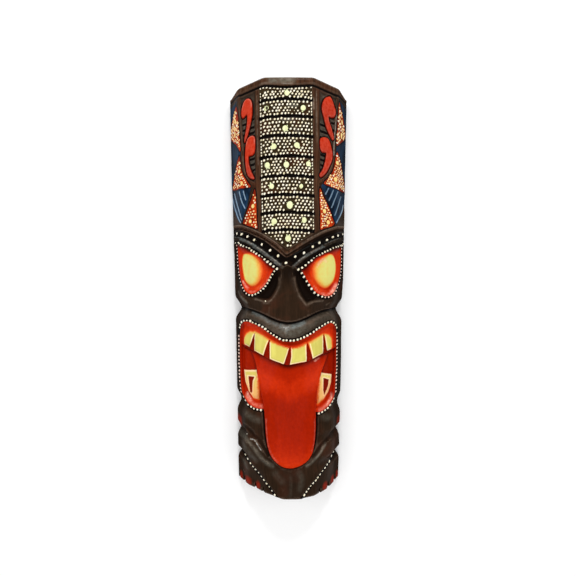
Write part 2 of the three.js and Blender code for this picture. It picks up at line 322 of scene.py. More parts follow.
blueGrounds = [
    [(-65.5, 238), (-67.5, 233), (-64.5, 216), (-63, 200), (-60, 172), (-59, 145), (-46, 122), (-50.5, 105),
     (-58.5, 83), (-64, 85), (-74, 108), (-82, 124), (-82, 239)],
    [(65.5, 238), (63.5, 222), (62, 200), (59.5, 172), (59, 150), (42, 127.5), (39.5, 124.5), (47, 108.5),
     (54.5, 92), (59.5, 80), (63.5, 86), (73, 112), (82, 124), (82, 239)],
]
stripes = [
    [(-71, 124.5), (-67, 110.5), (-62, 96), (-59, 86.5)],
    [(-62.5, 122.5), (-59, 110), (-54, 99.5)],
    [(-56.5, 121.5), (-53, 109.5)],
    [(-75, 121), (-71, 107), (-65, 91.5), (-60.5, 83)],
    [(68, 119), (63.5, 106), (58, 91.5)],
    [(62.5, 122.5), (58, 111.5), (53.5, 100.5)],
    [(56, 122.5), (52.5, 114), (50, 108.5)],
    [(49.5, 123.5), (45.5, 115.5)],
    [(72.5, 110.5), (69.5, 99.5), (60.5, 83)],
]
# Lines of wear with painted highlight along the rails and the rim band, and greyer patches, which in the
# column are painted highlight.
foreheadStreaks = {
    "wearAndHighlight": [
        (0.95, 1.5, [(60, 218), (59, 206), (57.6, 189), (56.8, 178), (56.6, 166)]),
        (0.4, 1.2, [(-61.4, 224), (-60.4, 207), (-58.6, 189), (-57, 172)]),
        (0.5, 1.2, [(-56.6, 165), (-56.4, 158), (-54, 145), (-50, 137)]),
        (0.35, 1.2, [(55, 157), (51, 145.5), (46, 138)]),
        (0.6, 4, [(29.6, 226), (29.8, 214)]),
        (0.55, 2, [(33.5, 236), (33.8, 205), (34.2, 176)]),
        (0.4, 2, [(-38, 232), (-37.4, 190), (-36.4, 150)]),
        (0.6, 5, [(-8, 249), (2, 248.4)]),
        (0.75, 2.4, [(-8, 243.6), (-2, 243.4), (4, 243.6)]),
        (0.45, 2, [(-34, 243.8), (-20, 243.6)]),
        (0.3, 1.6, [(-76, 236), (-66, 243), (-58, 247.5)]),
    ],
    "grey": [
        (0.9, 13, [(-20, 248), (-4, 248.5), (4, 248)]),
        (0.8, 7, [(2, 219), (9, 218)]),
        (0.9, 6, [(-6, 202), (3, 201.5)]),
        (0.8, 5, [(8, 190), (12, 186)]),
        (0.6, 4, [(42, 233), (46, 236), (50, 237.5)]),
    ],
}


def carveForehead(face):
    x, y = face.x, face.y
    inColumn = face.inside(column["outline"])
    face.sink(inColumn, column["depth"], column["wall"])
    for height in column["grooves"]:
        above = y - height + column["arch"] * (x / column["half"]) ** 2
        band = np.minimum(column["width"] / 2 - np.abs(above), inColumn + 0.6)
        face.cut(column["cut"] * smooth(band / 1.5))
        face.paint("black", band + 0.3)
        lowerLip = smooth(1 - np.abs(above + column["width"] / 2 + 1.1))
        face.mark("wearAndHighlight", 0.3 * lowerLip * (inColumn > 0.6))
        face.meet(np.where(inColumn > -1, np.abs(band), farAway))
    for rail in rails:
        face.paint("rail", face.inside(rail))
    face.paint("ground", inColumn)
    for panel in sidePanels:
        inPanel = face.inside(panel)
        face.sink(inPanel, forehead["panelDepth"], forehead["panelWall"])
        face.mark("grey", 0.26 * smooth(inPanel / 2))
    for line in outerRails:
        distance = face.ridge(curve(line), forehead["railWidth"], forehead["railRise"])
        face.paint("rail", 1.5 - distance)
    for height, start, end, thickness in hatches:
        across = np.minimum(x - start, end - x)
        bar = np.minimum(0.4 * thickness - np.abs(y - height), across)
        face.cut(forehead["hatchCut"] * smooth(bar / 0.9 + 0.3))
        face.paint("black", bar + 0.2)
        face.meet(np.abs(bar) + 0.3)
        # greyer on the ridges between the bars: painted highlight
        between = smooth((thickness / 2 + 3 - np.abs(y - height)) / 1.5) * smooth(across + 0.5)
        face.mark("grey", 0.5 * between)
    for ground in blueGrounds:
        face.paint("blue", face.inside(ground))
    for panel in orangePanels:
        distance = face.insideCurve(panel, 2)
        face.paint("orange", distance)
        face.cut(forehead["orangeCut"] * smooth(1.2 - np.abs(distance + 0.7)))
        face.paint("black", 0.75 - np.abs(distance + 0.7))
    # painted shade on the side facets of the forehead
    face.mark("paintedShade", 0.45 * smooth((x - 56) / 14) * smooth((y - 86) / 10))
    face.mark("paintedShade", 0.3 * smooth((-x - 66) / 10) * smooth((y - 86) / 10))
    face.mark("paintedShade", 0.32 * smooth((x - 38) / 8) * smooth((128 - y) / 6) * smooth((y - 82) / 6))
    for line in stripes:
        distance = face.away(curve(line), edge=False)
        face.meet(distance + 0.5)
        face.paint("stripe", forehead["stripeHalf"] - distance)
    for comma in commas:
        distance = face.insideCurve(comma, 3)
        raised = forehead["commaRise"] * np.sqrt(smooth((distance + 0.4) / forehead["commaRound"]))
        face.lift(distance > -0.4, forehead["panelDepth"] - raised)
        face.cut(forehead["commaCut"] * smooth(1 - np.abs(distance + 1.2) / 1.2))
        face.paint("black", 0.6 - np.abs(distance + 0.9))
        face.paint("warm", distance + 0.4)
        tail = smooth((comma[0][1] - 4 - y) / 16)
        # darker red at the comma's edge and on its wall: painted shade
        tone = 0.53 - 0.04 * tail - 0.3 * smooth(0.4 - distance)
        face.tone(distance > -1.6, tone)
        upperRim = smooth((y - comma[0][1] - 2) / 6) + 0.45 * tail
        # a painted highlight along the upper rim, then an even pink tint over the whole comma laid in the
        # highlight's colour
        face.mark("shine", 0.34 * smooth(1 - np.abs(distance - 0.9) / 0.9) * np.minimum(upperRim, 1))
        face.mark("shine", 0.05 * smooth(distance))
    rimHeight = rimBand["height"] + rimBand["bend"] * np.clip(np.abs(x) - rimBand["bendFrom"], 0, None)
    rimHeight = rimHeight - rimBand["sag"] * bell(x + 4, 17)
    rimOff = np.abs(y - rimHeight)
    face.cut(rimBand["cut"] * smooth(1.2 - 2 * rimOff / rimBand["width"]))
    face.meet(rimOff)
    face.paint("black", 1.3 - rimOff)
    face.paint("rail", y - rimHeight - 1)
    for name in ("blue", "orange", "warm"):
        face.wipe(name, y - rimHeight + 2.2)
    face.streaks(foreheadStreaks)


# The brow: an upper ridge of two bands, a black channel with white dots, and a lower grey ridge.
brow = {
    "upper": [(-82, 84.5), (-71, 81.5), (-59, 77.5), (-49, 73), (-36, 66.5), (-25, 59.5), (-16, 53.5),
        (-7, 46), (-2, 42), (6.5, 47), (15.5, 52.5), (29, 60.5), (43.5, 69), (58.5, 75.5), (73.5, 81),
        (82, 83.5)],
    "middle": [(-82, 77.5), (-71, 75.5), (-59, 72), (-49, 68), (-34, 60), (-23, 52.5), (-14, 46), (-7, 40.5),
        (-2, 36.5), (9, 42.5), (20, 48.5), (33.5, 56.5), (48.5, 64), (58.5, 69), (73.5, 75), (82, 77.5)],
    "lower": [(-82, 71), (-72, 66.5), (-59, 61.5), (-48, 55.5), (-37, 48.5), (-29.5, 42.5), (-20.5, 35.5),
        (-12.5, 29.5), (-7.5, 25.5)],
    "lowerRight": [(5.5, 25.5), (11, 30), (18, 36), (27, 42.5), (36.5, 48), (48.5, 54.5), (58.5, 59.5),
        (74, 66.5), (82, 70)],
    "dots": [
        [(-67, 72), (-59.5, 68.5), (-51, 64.5), (-42, 59.5), (-32, 53), (-22, 45.5), (-12.5, 39),
         (-3, 30.5)],
        [(8, 38), (18.5, 42.5), (29, 50), (37.5, 55.5), (47.5, 60), (55.5, 64.5), (63, 67.5)],
    ],
    "bands": [("upper", 4.4, 2.4), ("middle", 3.2, 1.7)],  # width, rise
    "lowerWidth": 6,
    "lowerRise": 2.4,
    "zoneDepth": 2.2,
    "zoneWall": 1.4,
}
browZone = [(-84, 86), (-71, 84), (-49, 75.5), (-25, 62), (-2, 43.5), (15.5, 55), (43.5, 71.5), (73.5, 83),
    (84, 85.5), (84, 58), (71.5, 57), (45, 45), (24, 31), (12, 24.5), (6, 24), (-2, 27.5), (-8, 24),
    (-14, 23.5), (-24, 31), (-41, 43.5), (-67, 58.5), (-84, 62)]
# Wear with painted highlight on the ridge edges, lines of painted shade, grey, and cool painted highlights
# on the lower ridge.
browStreaks = {
    "wearAndHighlight": [
        (0.6, 1.5, [(-78, 83.5), (-71, 82.8), (-59, 78.8), (-49, 74.4), (-36, 67.8), (-25, 61), (-16, 55),
            (-8, 48)]),
        (0.5, 1.5, [(22, 58), (29, 61.8), (43.5, 70.2), (58.5, 76.8), (73.5, 82.2)]),
        (0.25, 1.4, [(-74, 76.4), (-59, 72.4), (-49, 68.2), (-34, 60.2), (-23, 52.6), (-14, 46)]),
        (0.4, 1.4, [(44, 61.4), (52, 65.2), (62, 70), (72, 74)]),
        (0.9, 1.4, [(-49, 57.2), (-45, 54.8)]),
        (1, 1.6, [(-38, 49.8), (-32, 46), (-29, 43.6)]),
        (0.9, 1.4, [(-20, 36.8), (-13, 31), (-10, 28.2)]),
        (0.95, 1.4, [(12, 32.4), (16, 35.6), (20, 38)]),
        (0.8, 1.3, [(27, 42.6), (33, 46.4), (38, 49)]),
    ],
    "paintedShade": [
        (0.4, 5, [(-60, 77.5), (-49, 72.5), (-36, 66), (-25, 59), (-12, 49.6)]),
        (0.4, 4, [(-49, 67.5), (-34, 59.5), (-23, 52), (-14, 45.6)]),
    ],
    "grey": [(0.25, 3.6, [(16, 53.4), (29, 61), (43.5, 69.4), (58.5, 75.8)])],
    "coolHighlight": [
        (0.7, 1.6, [(6, 40), (13, 44), (20, 47.8), (25, 50.6)]),
        (0.5, 1.4, [(27, 51.8), (33, 55.4), (39, 58.6)]),
        (0.4, 1.2, [(24, 46), (33, 51.2), (42, 56.4), (52, 61)]),
        (0.6, 1.3, [(-74, 69.4), (-66, 66.4), (-59, 63), (-52, 59.6)]),
        (0.55, 3.2, [(-62, 62.6), (-50, 57), (-41, 51.6), (-32, 45.6), (-25, 39.8), (-16.5, 33.6),
            (-9.5, 27.8)]),
        (0.8, 1.2, [(-51, 59), (-45, 55.8), (-40, 52.8), (-34, 49)]),
        (0.75, 1.2, [(-31, 46.8), (-25, 42), (-20, 38), (-12, 31.8)]),
        (0.7, 1.2, [(-44, 51), (-38, 47.4), (-33, 43.6), (-27, 39)]),
        (0.65, 1.2, [(-22, 34.8), (-16, 30.6), (-11, 27)]),
        (0.35, 3, [(6.5, 27), (15.5, 35), (26, 41.5), (36, 47.8), (42, 51)]),
        (0.75, 1.2, [(7, 28.8), (14, 35.2), (20, 39.6), (24, 42)]),
        (0.65, 1.2, [(22, 38.4), (29, 42.6), (35, 46.4), (44, 51)]),
        (0.5, 1.3, [(40, 52.6), (48, 56.6), (56, 60.4), (66, 65)]),
    ],
}


def carveBrow(face):
    zone = face.inside(browZone)
    face.sink(zone, brow["zoneDepth"], brow["zoneWall"])
    # painted shade in the sunk brow zone, cleared again on the bands
    face.mark("paintedShade", 0.8 * smooth((zone - 0.3) / 1.2))
    for name, width, rise in brow["bands"]:
        distance = face.ridge(curve(brow[name]), width, rise)
        face.paint("rail", 1.6 - distance)
        face.marks["paintedShade"] = face.marks["paintedShade"] * smooth(distance / 2.2)
    ridges = [face.ridge(curve(brow[name]), brow["lowerWidth"], brow["lowerRise"])
              for name in ("lower", "lowerRight")]
    grey = np.minimum(*ridges)
    # greyer along the lower ridge: rubbed wear and painted highlight
    fade = (1 - 0.5 * smooth((np.abs(face.x) - 50) / 16)) * np.where(face.x > 0, 0.6, 1)
    face.mark("grey", 0.5 * smooth(1.5 - grey / 1.9) * fade)
    face.paint("black", np.where(grey > 3, zone - 6.2, -farAway))
    face.paint("black", 0.7 - np.abs(grey - 3.1) - farAway * (zone < 0.5))
    face.streaks(browStreaks)


# The eyes: a dotted rim, a steep drop under the lid and a gentler slope below, and a domed ball.
# The rim runs from the outer corner along the lid, back under the eye and up its outer side. A run
# of its dots has the rim points it lies between, a pitch and a size.
eyes = [
    {
        "rim": [(-67, 58.5), (-59.5, 55), (-51.5, 51), (-40.5, 44), (-32, 38), (-24, 31.5), (-18, 26.5),
            (-14, 23.5), (-18.5, 18.5), (-23, 9), (-28.5, 1.5), (-36.5, -5), (-43, -8), (-48.5, -8),
            (-55, -4), (-59.5, 5), (-63, 15.5), (-65, 28), (-66.5, 44)],
        "runs": [(0, 4, 4.3, 1.45), (4, 7, 4.7, 1.45), (7, 13, 4.3, 1.15), (13, 19, 4.4, 1)],
        "ball": [(-57, 42), (-54, 44), (-47.5, 42.5), (-39.5, 37), (-33, 30.5), (-30.5, 22), (-32.5, 12),
            (-38.5, 4.5), (-46.5, 2.5), (-54.5, 9.5), (-58, 22), (-58.5, 35)],
        "yellow": [(-57, 42.5), (-52, 43), (-46, 41.5), (-40, 37.5), (-36.5, 31), (-35, 23), (-36.5, 13.5),
            (-40, 6.5), (-46.5, 4), (-53.5, 9.5), (-57, 22), (-58.3, 34)],
        "outer": -1,
    },
    {
        "rim": [(71, 57.5), (63.5, 53.5), (55.5, 50.5), (45.5, 45), (33.5, 38.5), (24, 31), (16, 24.5),
            (12, 22.5), (15.5, 18.5), (21.5, 8), (29, -2.5), (34, -7), (41, -10), (47, -11), (54.5, -9),
            (59.5, -3.5), (64, 5), (68, 17), (69.5, 33), (69.5, 49)],
        "runs": [(0, 5, 4.2, 1.2), (5, 7, 5.4, 1.4), (7, 12, 5.6, 1.35), (12, 16, 4.6, 1.15),
            (16, 20, 4.4, 1)],
        "ball": [(50, 43), (56.5, 42.5), (60, 34), (60, 21.5), (56.5, 9), (49, 0.5), (40.5, 1), (33, 7.5),
            (28.5, 17), (29.5, 27), (38, 36.5)],
        "yellow": [(51, 42), (56.5, 40.5), (59.8, 31), (59.4, 20), (55.5, 9), (48, 2.5), (41, 4), (35, 10),
            (32.5, 19.5), (34.5, 28.5), (43, 37)],
        "outer": 1,
    },
]
socket = {"depth": 7.4, "inset": 1.5, "lidWall": 2.2, "lowWall": 8.5, "rise": 6.4, "dome": 11}
# painted highlights on the rims and the balls
eyeStreaks = {
    "shine": [
        (0.6, 2.8, [(-58, 10), (-54.5, 4.8), (-51, 1)]),
        (0.3, 2, [(-51, -2.5), (-46, -4.4), (-40, -3.6)]),
        (0.3, 1.6, [(-35, -1), (-27, 7), (-21, 16)]),
        (0.6, 5, [(38, 31.5), (43, 35.5), (46, 33)]),
        (0.5, 3, [(35, 27), (38, 32)]),
        (0.7, 6.5, [(60.5, 4.5), (57.5, -0.5), (54, -4)]),
        (0.45, 3.5, [(53, -6), (47, -8), (42, -7.2)]),
        (0.3, 1.8, [(42, -7), (37, -4.6), (30, 3)]),
    ],
}


def carveEyes(face):
    x, y = face.x, face.y
    for eye in eyes:
        rim = face.insideCurve(eye["rim"], reach=30)
        paint = rim - socket["inset"]
        lid = face.away(curve(eye["rim"][:8]), reach=30, edge=False)
        side = smooth((lid - 1.2) / socket["lidWall"]) * smooth(paint / socket["lowWall"])
        steep = np.where(lid < rim + 0.8, smooth(paint / socket["lidWall"]), 1)
        face.deepen(rim > 0, socket["depth"] * np.minimum(np.maximum(side, 0), steep))
        ball = face.insideCurve(eye["ball"], reach=30)
        t = np.clip(ball / socket["dome"], 0, 1)
        face.cut(-socket["rise"] * np.sqrt(1 - (1 - t) ** 2) * (ball > 0))
        face.paint("warm", paint)
        face.paint("black", np.where(rim < 1.5, rim + 2.6, -farAway))
        face.wipe("black", paint)
        yellow = face.insideCurve(eye["yellow"], reach=30, edge=False)
        towardNose = smooth(0.5 - eye["outer"] * (x - eye["outer"] * 44) / 22)
        fade = 2.4 + 13 * towardNose + 3 * smooth((20 - y) / 22) * (1 - towardNose)
        glow = smooth((yellow + fade * 0.8) / (fade * 1.3))
        # painted shade under the lid, in the inner corner and in the crease under the ball, and a painted
        # highlight on the lower bevel
        shade = 0.12 * smooth(1 - np.hypot(x - 22, y - 20) / 14) + 0.42 * decay(lid - 2.6, 1.7, 30)
        crease = 0.17 * smooth(1 - np.abs(ball + 0.8) / 2.4) * smooth((16 - y) / 12)
        bevel = 0.07 * smooth(1 - np.abs(paint - 2.4) / 2.6) * smooth((8 - y) / 12)
        warmth = 0.535 + bevel - crease * (1 - glow) - shade * (1 - 0.8 * glow) + 0.455 * glow
        face.tone(rim > 0, warmth)
    face.streaks(eyeStreaks)


# The nose: a bridge that rises from under the brow, a deep pocket on each side, the nostrils' edges
# and the cheeks, which end in one block over the lip.
nose = {
    "bridge": [(-12, 31), (9, 31), (7.5, 12), (11, -4), (21, -19), (-24, -17), (-15, -4), (-11.5, 10)],
    "bridgeTop": (30, 70),
    "tip": (-12, 75.6),
    "pockets": [
        [(-10, 22), (-10.5, 13), (-12, 3), (-16, -5), (-20, -11), (-26, -14), (-38, -12.5), (-46, -10),
         (-39, -7.5), (-32, -4), (-26, 3), (-20.5, 12), (-15.5, 20)],
        [(6.5, 22), (12, 21.5), (16.5, 16), (21.5, 6), (27.5, -3), (35, -9.5), (43, -13.5), (32, -14.5),
         (21.5, -17.5), (15.5, -10), (11, -1), (8, 9)],
    ],
    "edges": [
        [(-9.5, 19), (-10, 13), (-11, 4), (-14, -4), (-17.5, -10), (-22.5, -15.5), (-29, -15.5), (-38, -13)],
        [(4, 18), (5, 12), (8.5, 2), (11.5, -6), (14.5, -11), (17.5, -15), (21, -19.5), (26, -17),
         (32, -15.5), (40, -14.5)],
    ],
    "cheeks": [[(-73, 2), (-66, -7), (-58, -14.5), (-50, -19)], [(73, 0), (68, -10), (60, -17), (52, -19)]],
    "ridges": {"edges": (8, 0.8), "cheeks": (7, 1.2)},  # width, rise
    "pocketCut": 7.5,
    "pocketWall": 7,
}
lip = {
    "groove": [(-80, -23.5), (-62.5, -25), (-49.5, -26.5), (-39.5, -29), (-28.5, -32.5), (-19.5, -36.5),
        (-10.5, -40), (0, -41.5), (11, -40), (20, -36.5), (29, -32.5), (39, -29), (49, -27), (65, -26),
        (80, -25)],
    "ridge": [(-80, -34), (-62, -32.5), (-44, -33.5), (-29.5, -38.5), (-19.5, -44), (-8.5, -49),
        (-0.5, -50.5), (11, -48), (24.5, -40.5), (38.5, -35), (60.5, -33), (80, -34)],
    "cut": 4.8,
    "lowWall": 5.5,
    "highWall": 2.2,
    "swell": 2.2,
    "swellHalf": 8.5,
}
# Wear with painted highlight on the nose edges and the lip, a grey painted highlight on the left cheek
# ridge, and cool painted highlights on the lip.
noseStreaks = {
    "wearAndHighlight": [
        (0.28, 4, [(11.5, -6), (14.5, -11), (17.5, -15), (20.5, -19)]),
        (0.24, 3.4, [(21, -19.5), (26, -17), (32, -15.5), (42, -15)]),
        (0.1, 5, [(5.5, 12), (8.5, 2), (10, -2)]),
        (0.1, 5, [(-10.2, 12), (-11.2, 4), (-14, -4), (-18, -10)]),
        (0.3, 2.6, [(-20, -13), (-24, -17), (-30, -17.5)]),
        (0.34, 2.4, [(-41, -12.5), (-34, -14.5), (-28, -16.5)]),
        (0.35, 1.8, [(-60, -10), (-52, -16)]),
        (0.4, 2.4, [(46, -20.5), (49, -20)]),
        (0.35, 2.4, [(-33, -34), (-26, -38)]),
        (0.95, 4.2, [(-7, -44.6), (-3, -47), (1, -45)]),
        (0.95, 3.8, [(-3, -46), (-3, -49)]),
        (0.55, 2, [(-5, -52.6), (-1, -53.6)]),
        (0.4, 1.8, [(44, -31.5), (50, -30.5)]),
    ],
    "grey": [(0.7, 4, [(-65, -4), (-60.5, -11.5), (-52, -17.5)])],
    "coolHighlight": [
        (0.65, 4.6, [(-44, -29.5), (-30, -35), (-23, -39.5), (-13.5, -43)]),
        (0.95, 7, [(-9, -44.6), (-2, -46.5), (8, -44.6), (18, -41)]),
        (0.8, 5, [(-2.5, -46), (-2.5, -51)]),
    ],
}


def carveNose(face):
    x, y = face.x, face.y
    bridge = face.insideCurve(nose["bridge"], 2, reach=12, edge=False)
    (topY, topZ), (tipY, tipZ) = nose["bridgeTop"], nose["tip"]
    slope = lerp(topZ, tipZ, np.clip((topY - y) / (topY - tipY), -0.2, 1))
    cut = np.clip(log["depth"] - slope, 0, 30)
    inBrow = smooth((y - 21 + 0.4 * np.abs(x)) / 9)
    face.depth = np.maximum(face.depth, cut * smooth((bridge + 1.5) / 4) * (1 - inBrow))
    # painted shade on the bridge under the brow
    face.mark("paintedShade", 0.36 * smooth((y + 4) / 18) * smooth((bridge + 2) / 3) * smooth((34 - y) / 6))
    for pocket in nose["pockets"]:
        distance = face.insideCurve(pocket, 3, reach=12, edge=False)
        face.cut(nose["pocketCut"] * smooth((distance + 1.8) / nose["pocketWall"]) * (1 - inBrow))
        # painted shade in the pocket
        face.mark("paintedShade", 0.72 * smooth((distance + 2) / 8))
    for name, (width, rise) in nose["ridges"].items():
        for line in nose[name]:
            face.ridge(curve(line), width, rise)
    groove = curve(lip["groove"])
    distance = face.away(groove)
    below = y < np.interp(x, *groove.T)
    face.cut(lip["cut"] * smooth(1 - distance / np.where(below, lip["lowWall"], lip["highWall"])))
    face.paint("black", 1.15 - distance)
    swell = face.away(curve(lip["ridge"]), reach=14, edge=False)
    bulge = np.clip(1 - (swell / lip["swellHalf"]) ** 2, 0, 1)
    face.cut(-lip["swell"] * bulge * smooth((distance - 1) / 5) * below)
    middle = 0.2 + 0.34 * bell(x - 4, 26)
    face.mark("grey", middle * smooth(1.5 - swell / 8) * below * smooth((66 - np.abs(x)) / 8))
    face.streaks(noseStreaks)


# The mouth: a deep cut with a dotted rim, a sloping gum, six upper teeth, two lower fangs. Its rim
# is the top, then down the right side, back along the bottom and up the left side.
mouth = {
    "top": [(-63, -50.5), (-61.5, -46), (-58.5, -42), (-54.5, -40), (-49, -40), (-43.5, -41.5), (-31.5, -46),
        (-24.5, -50.5), (-17.5, -55), (-9, -60), (-3.5, -61.5), (6, -61.5), (13, -60), (19.5, -57),
        (27, -53), (36.5, -48), (48, -42.5), (53.5, -41.5), (58.5, -44.5), (61.5, -50)],
    "right": [(62.5, -58), (62.6, -72), (62.2, -100), (61.5, -118), (60.5, -132)],
    "bottom": [(58, -141), (53, -147), (47.5, -151), (40.5, -153.5), (34, -154), (0, -152), (-30, -149.5),
        (-39, -149.5), (-46.5, -148.5), (-53, -145.5), (-58, -141)],
    "left": [(-60.7, -134), (-62.4, -124), (-63.6, -110), (-64.2, -86), (-64.1, -62)],
    "depth": 14,
    "inset": 1.5,
    "wall": 5,
    "lowWall": 11,
    "gumEdge": [(-60, -70), (-56.5, -72), (-47.5, -75), (-42.5, -77), (-30.5, -81.5), (-22.5, -85),
        (-6, -91), (1, -92), (11, -90.5), (22, -88), (29.5, -85), (43, -80.5), (54, -77.5), (60, -74)],
    "gumDepth": 7,
    "gumHalf": 57.5,
    "toothDepth": 4.6,
    "toothRound": 1.2,
    "gapCut": 1.6,
    "fangDepth": 8,
    "fangRound": 2,
    "slitCut": 2.2,
}
teeth = [
    [(-48, -73.5), (-56, -70.5), (-56, -64), (-52, -58), (-47.5, -55), (-42.5, -55.5), (-45, -62)],
    [(-42.7, -76.6), (-42, -54.5), (-33, -57.5), (-24, -62), (-26.5, -68), (-30.6, -81)],
    [(-22.4, -84.6), (-22.4, -63), (-10, -68), (0.5, -71.5), (-1.5, -78.5), (-5.6, -90.8)],
    [(1.4, -91.4), (3.4, -82), (3.4, -71.5), (12, -70.5), (21, -67), (21.5, -76.5), (22, -87.4)],
    [(29.4, -84.6), (27.5, -75), (25, -65.5), (33, -62.5), (42.5, -58), (43, -68), (43, -79.8)],
    [(48.2, -77.8), (47, -68.5), (45.5, -58), (50, -59.5), (53, -63.5), (54, -76)],
]
toothTops = [(1, 6), (1, 4), (1, 4), (2, 5), (2, 5), (2, 6)]  # the points of each that the gum meets
gaps = [
    [(-42, -56), (-48.8, -73.2), (-42.6, -76.8)],
    [(-23, -62.6), (-30.4, -81.2), (-22.6, -84.8)],
    [(1.8, -71.6), (-5.4, -91), (1.3, -92), (3, -84)],
    [(22.8, -66.8), (21.7, -87.8), (29.2, -85)],
    [(43.8, -58), (43, -80), (48.3, -78.2)],
]
fangs = [
    {
        "outline": [(-57, -104.5), (-38, -101), (-37, -112.5), (-36.5, -125), (-37.5, -138.5), (-44, -138.5),
            (-50, -131), (-55, -118.5)],
        "slit": [(-50.8, -111), (-42.5, -110), (-44.8, -116), (-45.8, -131.5), (-48.5, -131.5)],
        "soft": [(-36.5, -110), (-36.5, -125), (-37, -140), (-46, -140)],
    },
    {
        "outline": [(40, -104.5), (55, -109.5), (54, -120.5), (50, -131.5), (44, -139.5), (36.5, -144.5),
            (35.5, -133), (37.5, -116)],
        "slit": [(43.5, -111.5), (51, -115), (50, -122.5), (45, -134.5), (43.5, -126.5)],
        "soft": [(37.5, -114), (35.5, -133), (36.5, -145.5), (43, -141)],
    },
]
# painted highlights, most of them on the lower bevel
mouthStreaks = {
    "shine": [
        (1, 4, [(-52.5, -134.5), (-50, -138.5), (-47.5, -142)]),
        (0.3, 5, [(-54, -136), (-50, -141), (-42, -145), (-33, -145.5)]),
        (1, 3.6, [(54.5, -137), (52.5, -141)]),
        (1, 3.6, [(51, -142), (48.5, -146)]),
        (0.28, 5, [(55.5, -135), (51, -143), (44, -148.5), (38, -150.5)]),
        (0.7, 2.2, [(32.5, -88), (37, -85.5)]),
        (0.4, 1.4, [(55.5, -65), (56.3, -65.6)]),
    ],
}


def carveMouth(face):
    x, y = face.x, face.y
    ring = mouth["top"] + mouth["right"] + mouth["bottom"] + mouth["left"]
    rim = face.insideCurve(ring, 3, reach=30)
    paint = rim - mouth["inset"]
    upper = face.away(curve(mouth["top"]), reach=60, edge=False)
    bottom = face.away(curve(mouth["bottom"]), reach=30, edge=False)
    wall = np.where(bottom < rim + 1, mouth["lowWall"], mouth["wall"])
    face.deepen(rim > 0, mouth["depth"] * smooth(paint / wall))
    face.paint("warm", paint)
    face.paint("black", np.where(rim < 1.5, rim + 2.4, -farAway))
    face.wipe("black", paint)
    gumLine = curve(mouth["gumEdge"])
    above = y > np.interp(x, *gumLine.T)
    edge = face.away(gumLine, reach=30)
    gum = np.where(above, edge, -edge)
    inGum = np.minimum(gum, (mouth["gumHalf"] - np.abs(x)) * 0.4)
    gumSlope = mouth["gumDepth"] * smooth(paint / 6)
    solid = smooth(inGum + 1.2)
    face.depth = np.where(rim > 0, lerp(face.depth, np.minimum(face.depth, gumSlope), solid), face.depth)
    # painted shade under the upper rim and in its corners, a painted highlight on the lower bevel, and a
    # painted shadow line under the teeth
    middle = bell(x, 22)
    paintedShade = (0.36 + 0.08 * middle) * decay(upper - 1.5, 1.7 + 3 * middle, 60)
    paintedShade = paintedShade + 0.22 * bell(np.hypot(np.abs(x) - 57, y + 45), 5)
    bevel = 0.1 * smooth(1 - np.abs(paint - 3) / 3.4) * (bottom < rim + 1)
    line = 0.4 * decay(np.abs(gum + 0.9), 1.1, 9) * smooth((56 - np.abs(x)) / 3)
    floor = 0.425 + 0.06 * smooth((-112 - y) / 30) + 0.03 * smooth(-x / 40)
    warmth = lerp(floor, 0.565, smooth((inGum + 1) / 3)) - paintedShade + bevel - line
    for tooth, (first, last) in zip(teeth, toothTops):
        distance = face.inside(tooth, reach=12)
        top = face.away(tooth[first:last], reach=12, edge=False)
        face.lift(distance > -0.6, mouth["toothDepth"] + mouth["toothRound"] * (1 - smooth(distance / 2.2)))
        soft = np.where(top < distance + 0.3, (distance - 1) * 0.32, distance)
        face.paint("tooth", soft)
        face.mark("toothInner", np.where(top < distance + 0.3, 2 * (distance > 0), distance))
        overTooth = (y > tooth[0][1] + 3) | (distance > 0)
        outside = np.clip(-distance, 0, 12)
        halo = bell(outside, 2.1) + 0.2 * bell(outside, 5)
        glow = 0.5 - 0.14 * middle + (0.36 - 0.12 * middle) * halo
        warmth = np.maximum(warmth, np.where(inGum > 0.5, glow, 0) * overTooth)
    for gap in gaps:
        distance = face.inside(gap, reach=6)
        warmth = lerp(warmth, 0.25, smooth(distance / 0.7 + 1.4))
        face.wipe("tooth", distance + 0.2)
        face.cut(mouth["gapCut"] * smooth(distance / 1.6 + 0.3))
    for fang in fangs:
        distance = face.inside(fang["outline"], reach=12)
        slit = face.inside(fang["slit"], reach=12)
        soft = face.away(curve(fang["soft"]), reach=12, edge=False)
        level = mouth["fangDepth"] + mouth["fangRound"] * (1 - smooth(distance / 2.6))
        face.lift(distance > -0.7, level + mouth["slitCut"] * smooth((slit + 0.6) / 1.4))
        faded = np.where(soft < distance + 2.4, (soft - 2.2) * 0.25, distance)
        face.paint("tooth", np.minimum(np.minimum(distance, -slit), faded))
        face.mark("toothInner", 0.7 * np.minimum(distance, -slit))
        face.mark("amber", (0.15 + 0.55 * smooth((-108 - y) / 22)) * (distance > -1))
        glow = bell(np.clip(-distance, 0, 12), 2.6) * bell(np.clip(soft - 2, 0, 12), 4)
        warmth = np.maximum(warmth, 0.36 + 0.44 * glow * (gum < 0) * (distance > -6))
        warmth = np.where(slit > -0.6, 0.32, warmth)
    face.tone(rim > 0, warmth)
    face.streaks(mouthStreaks)


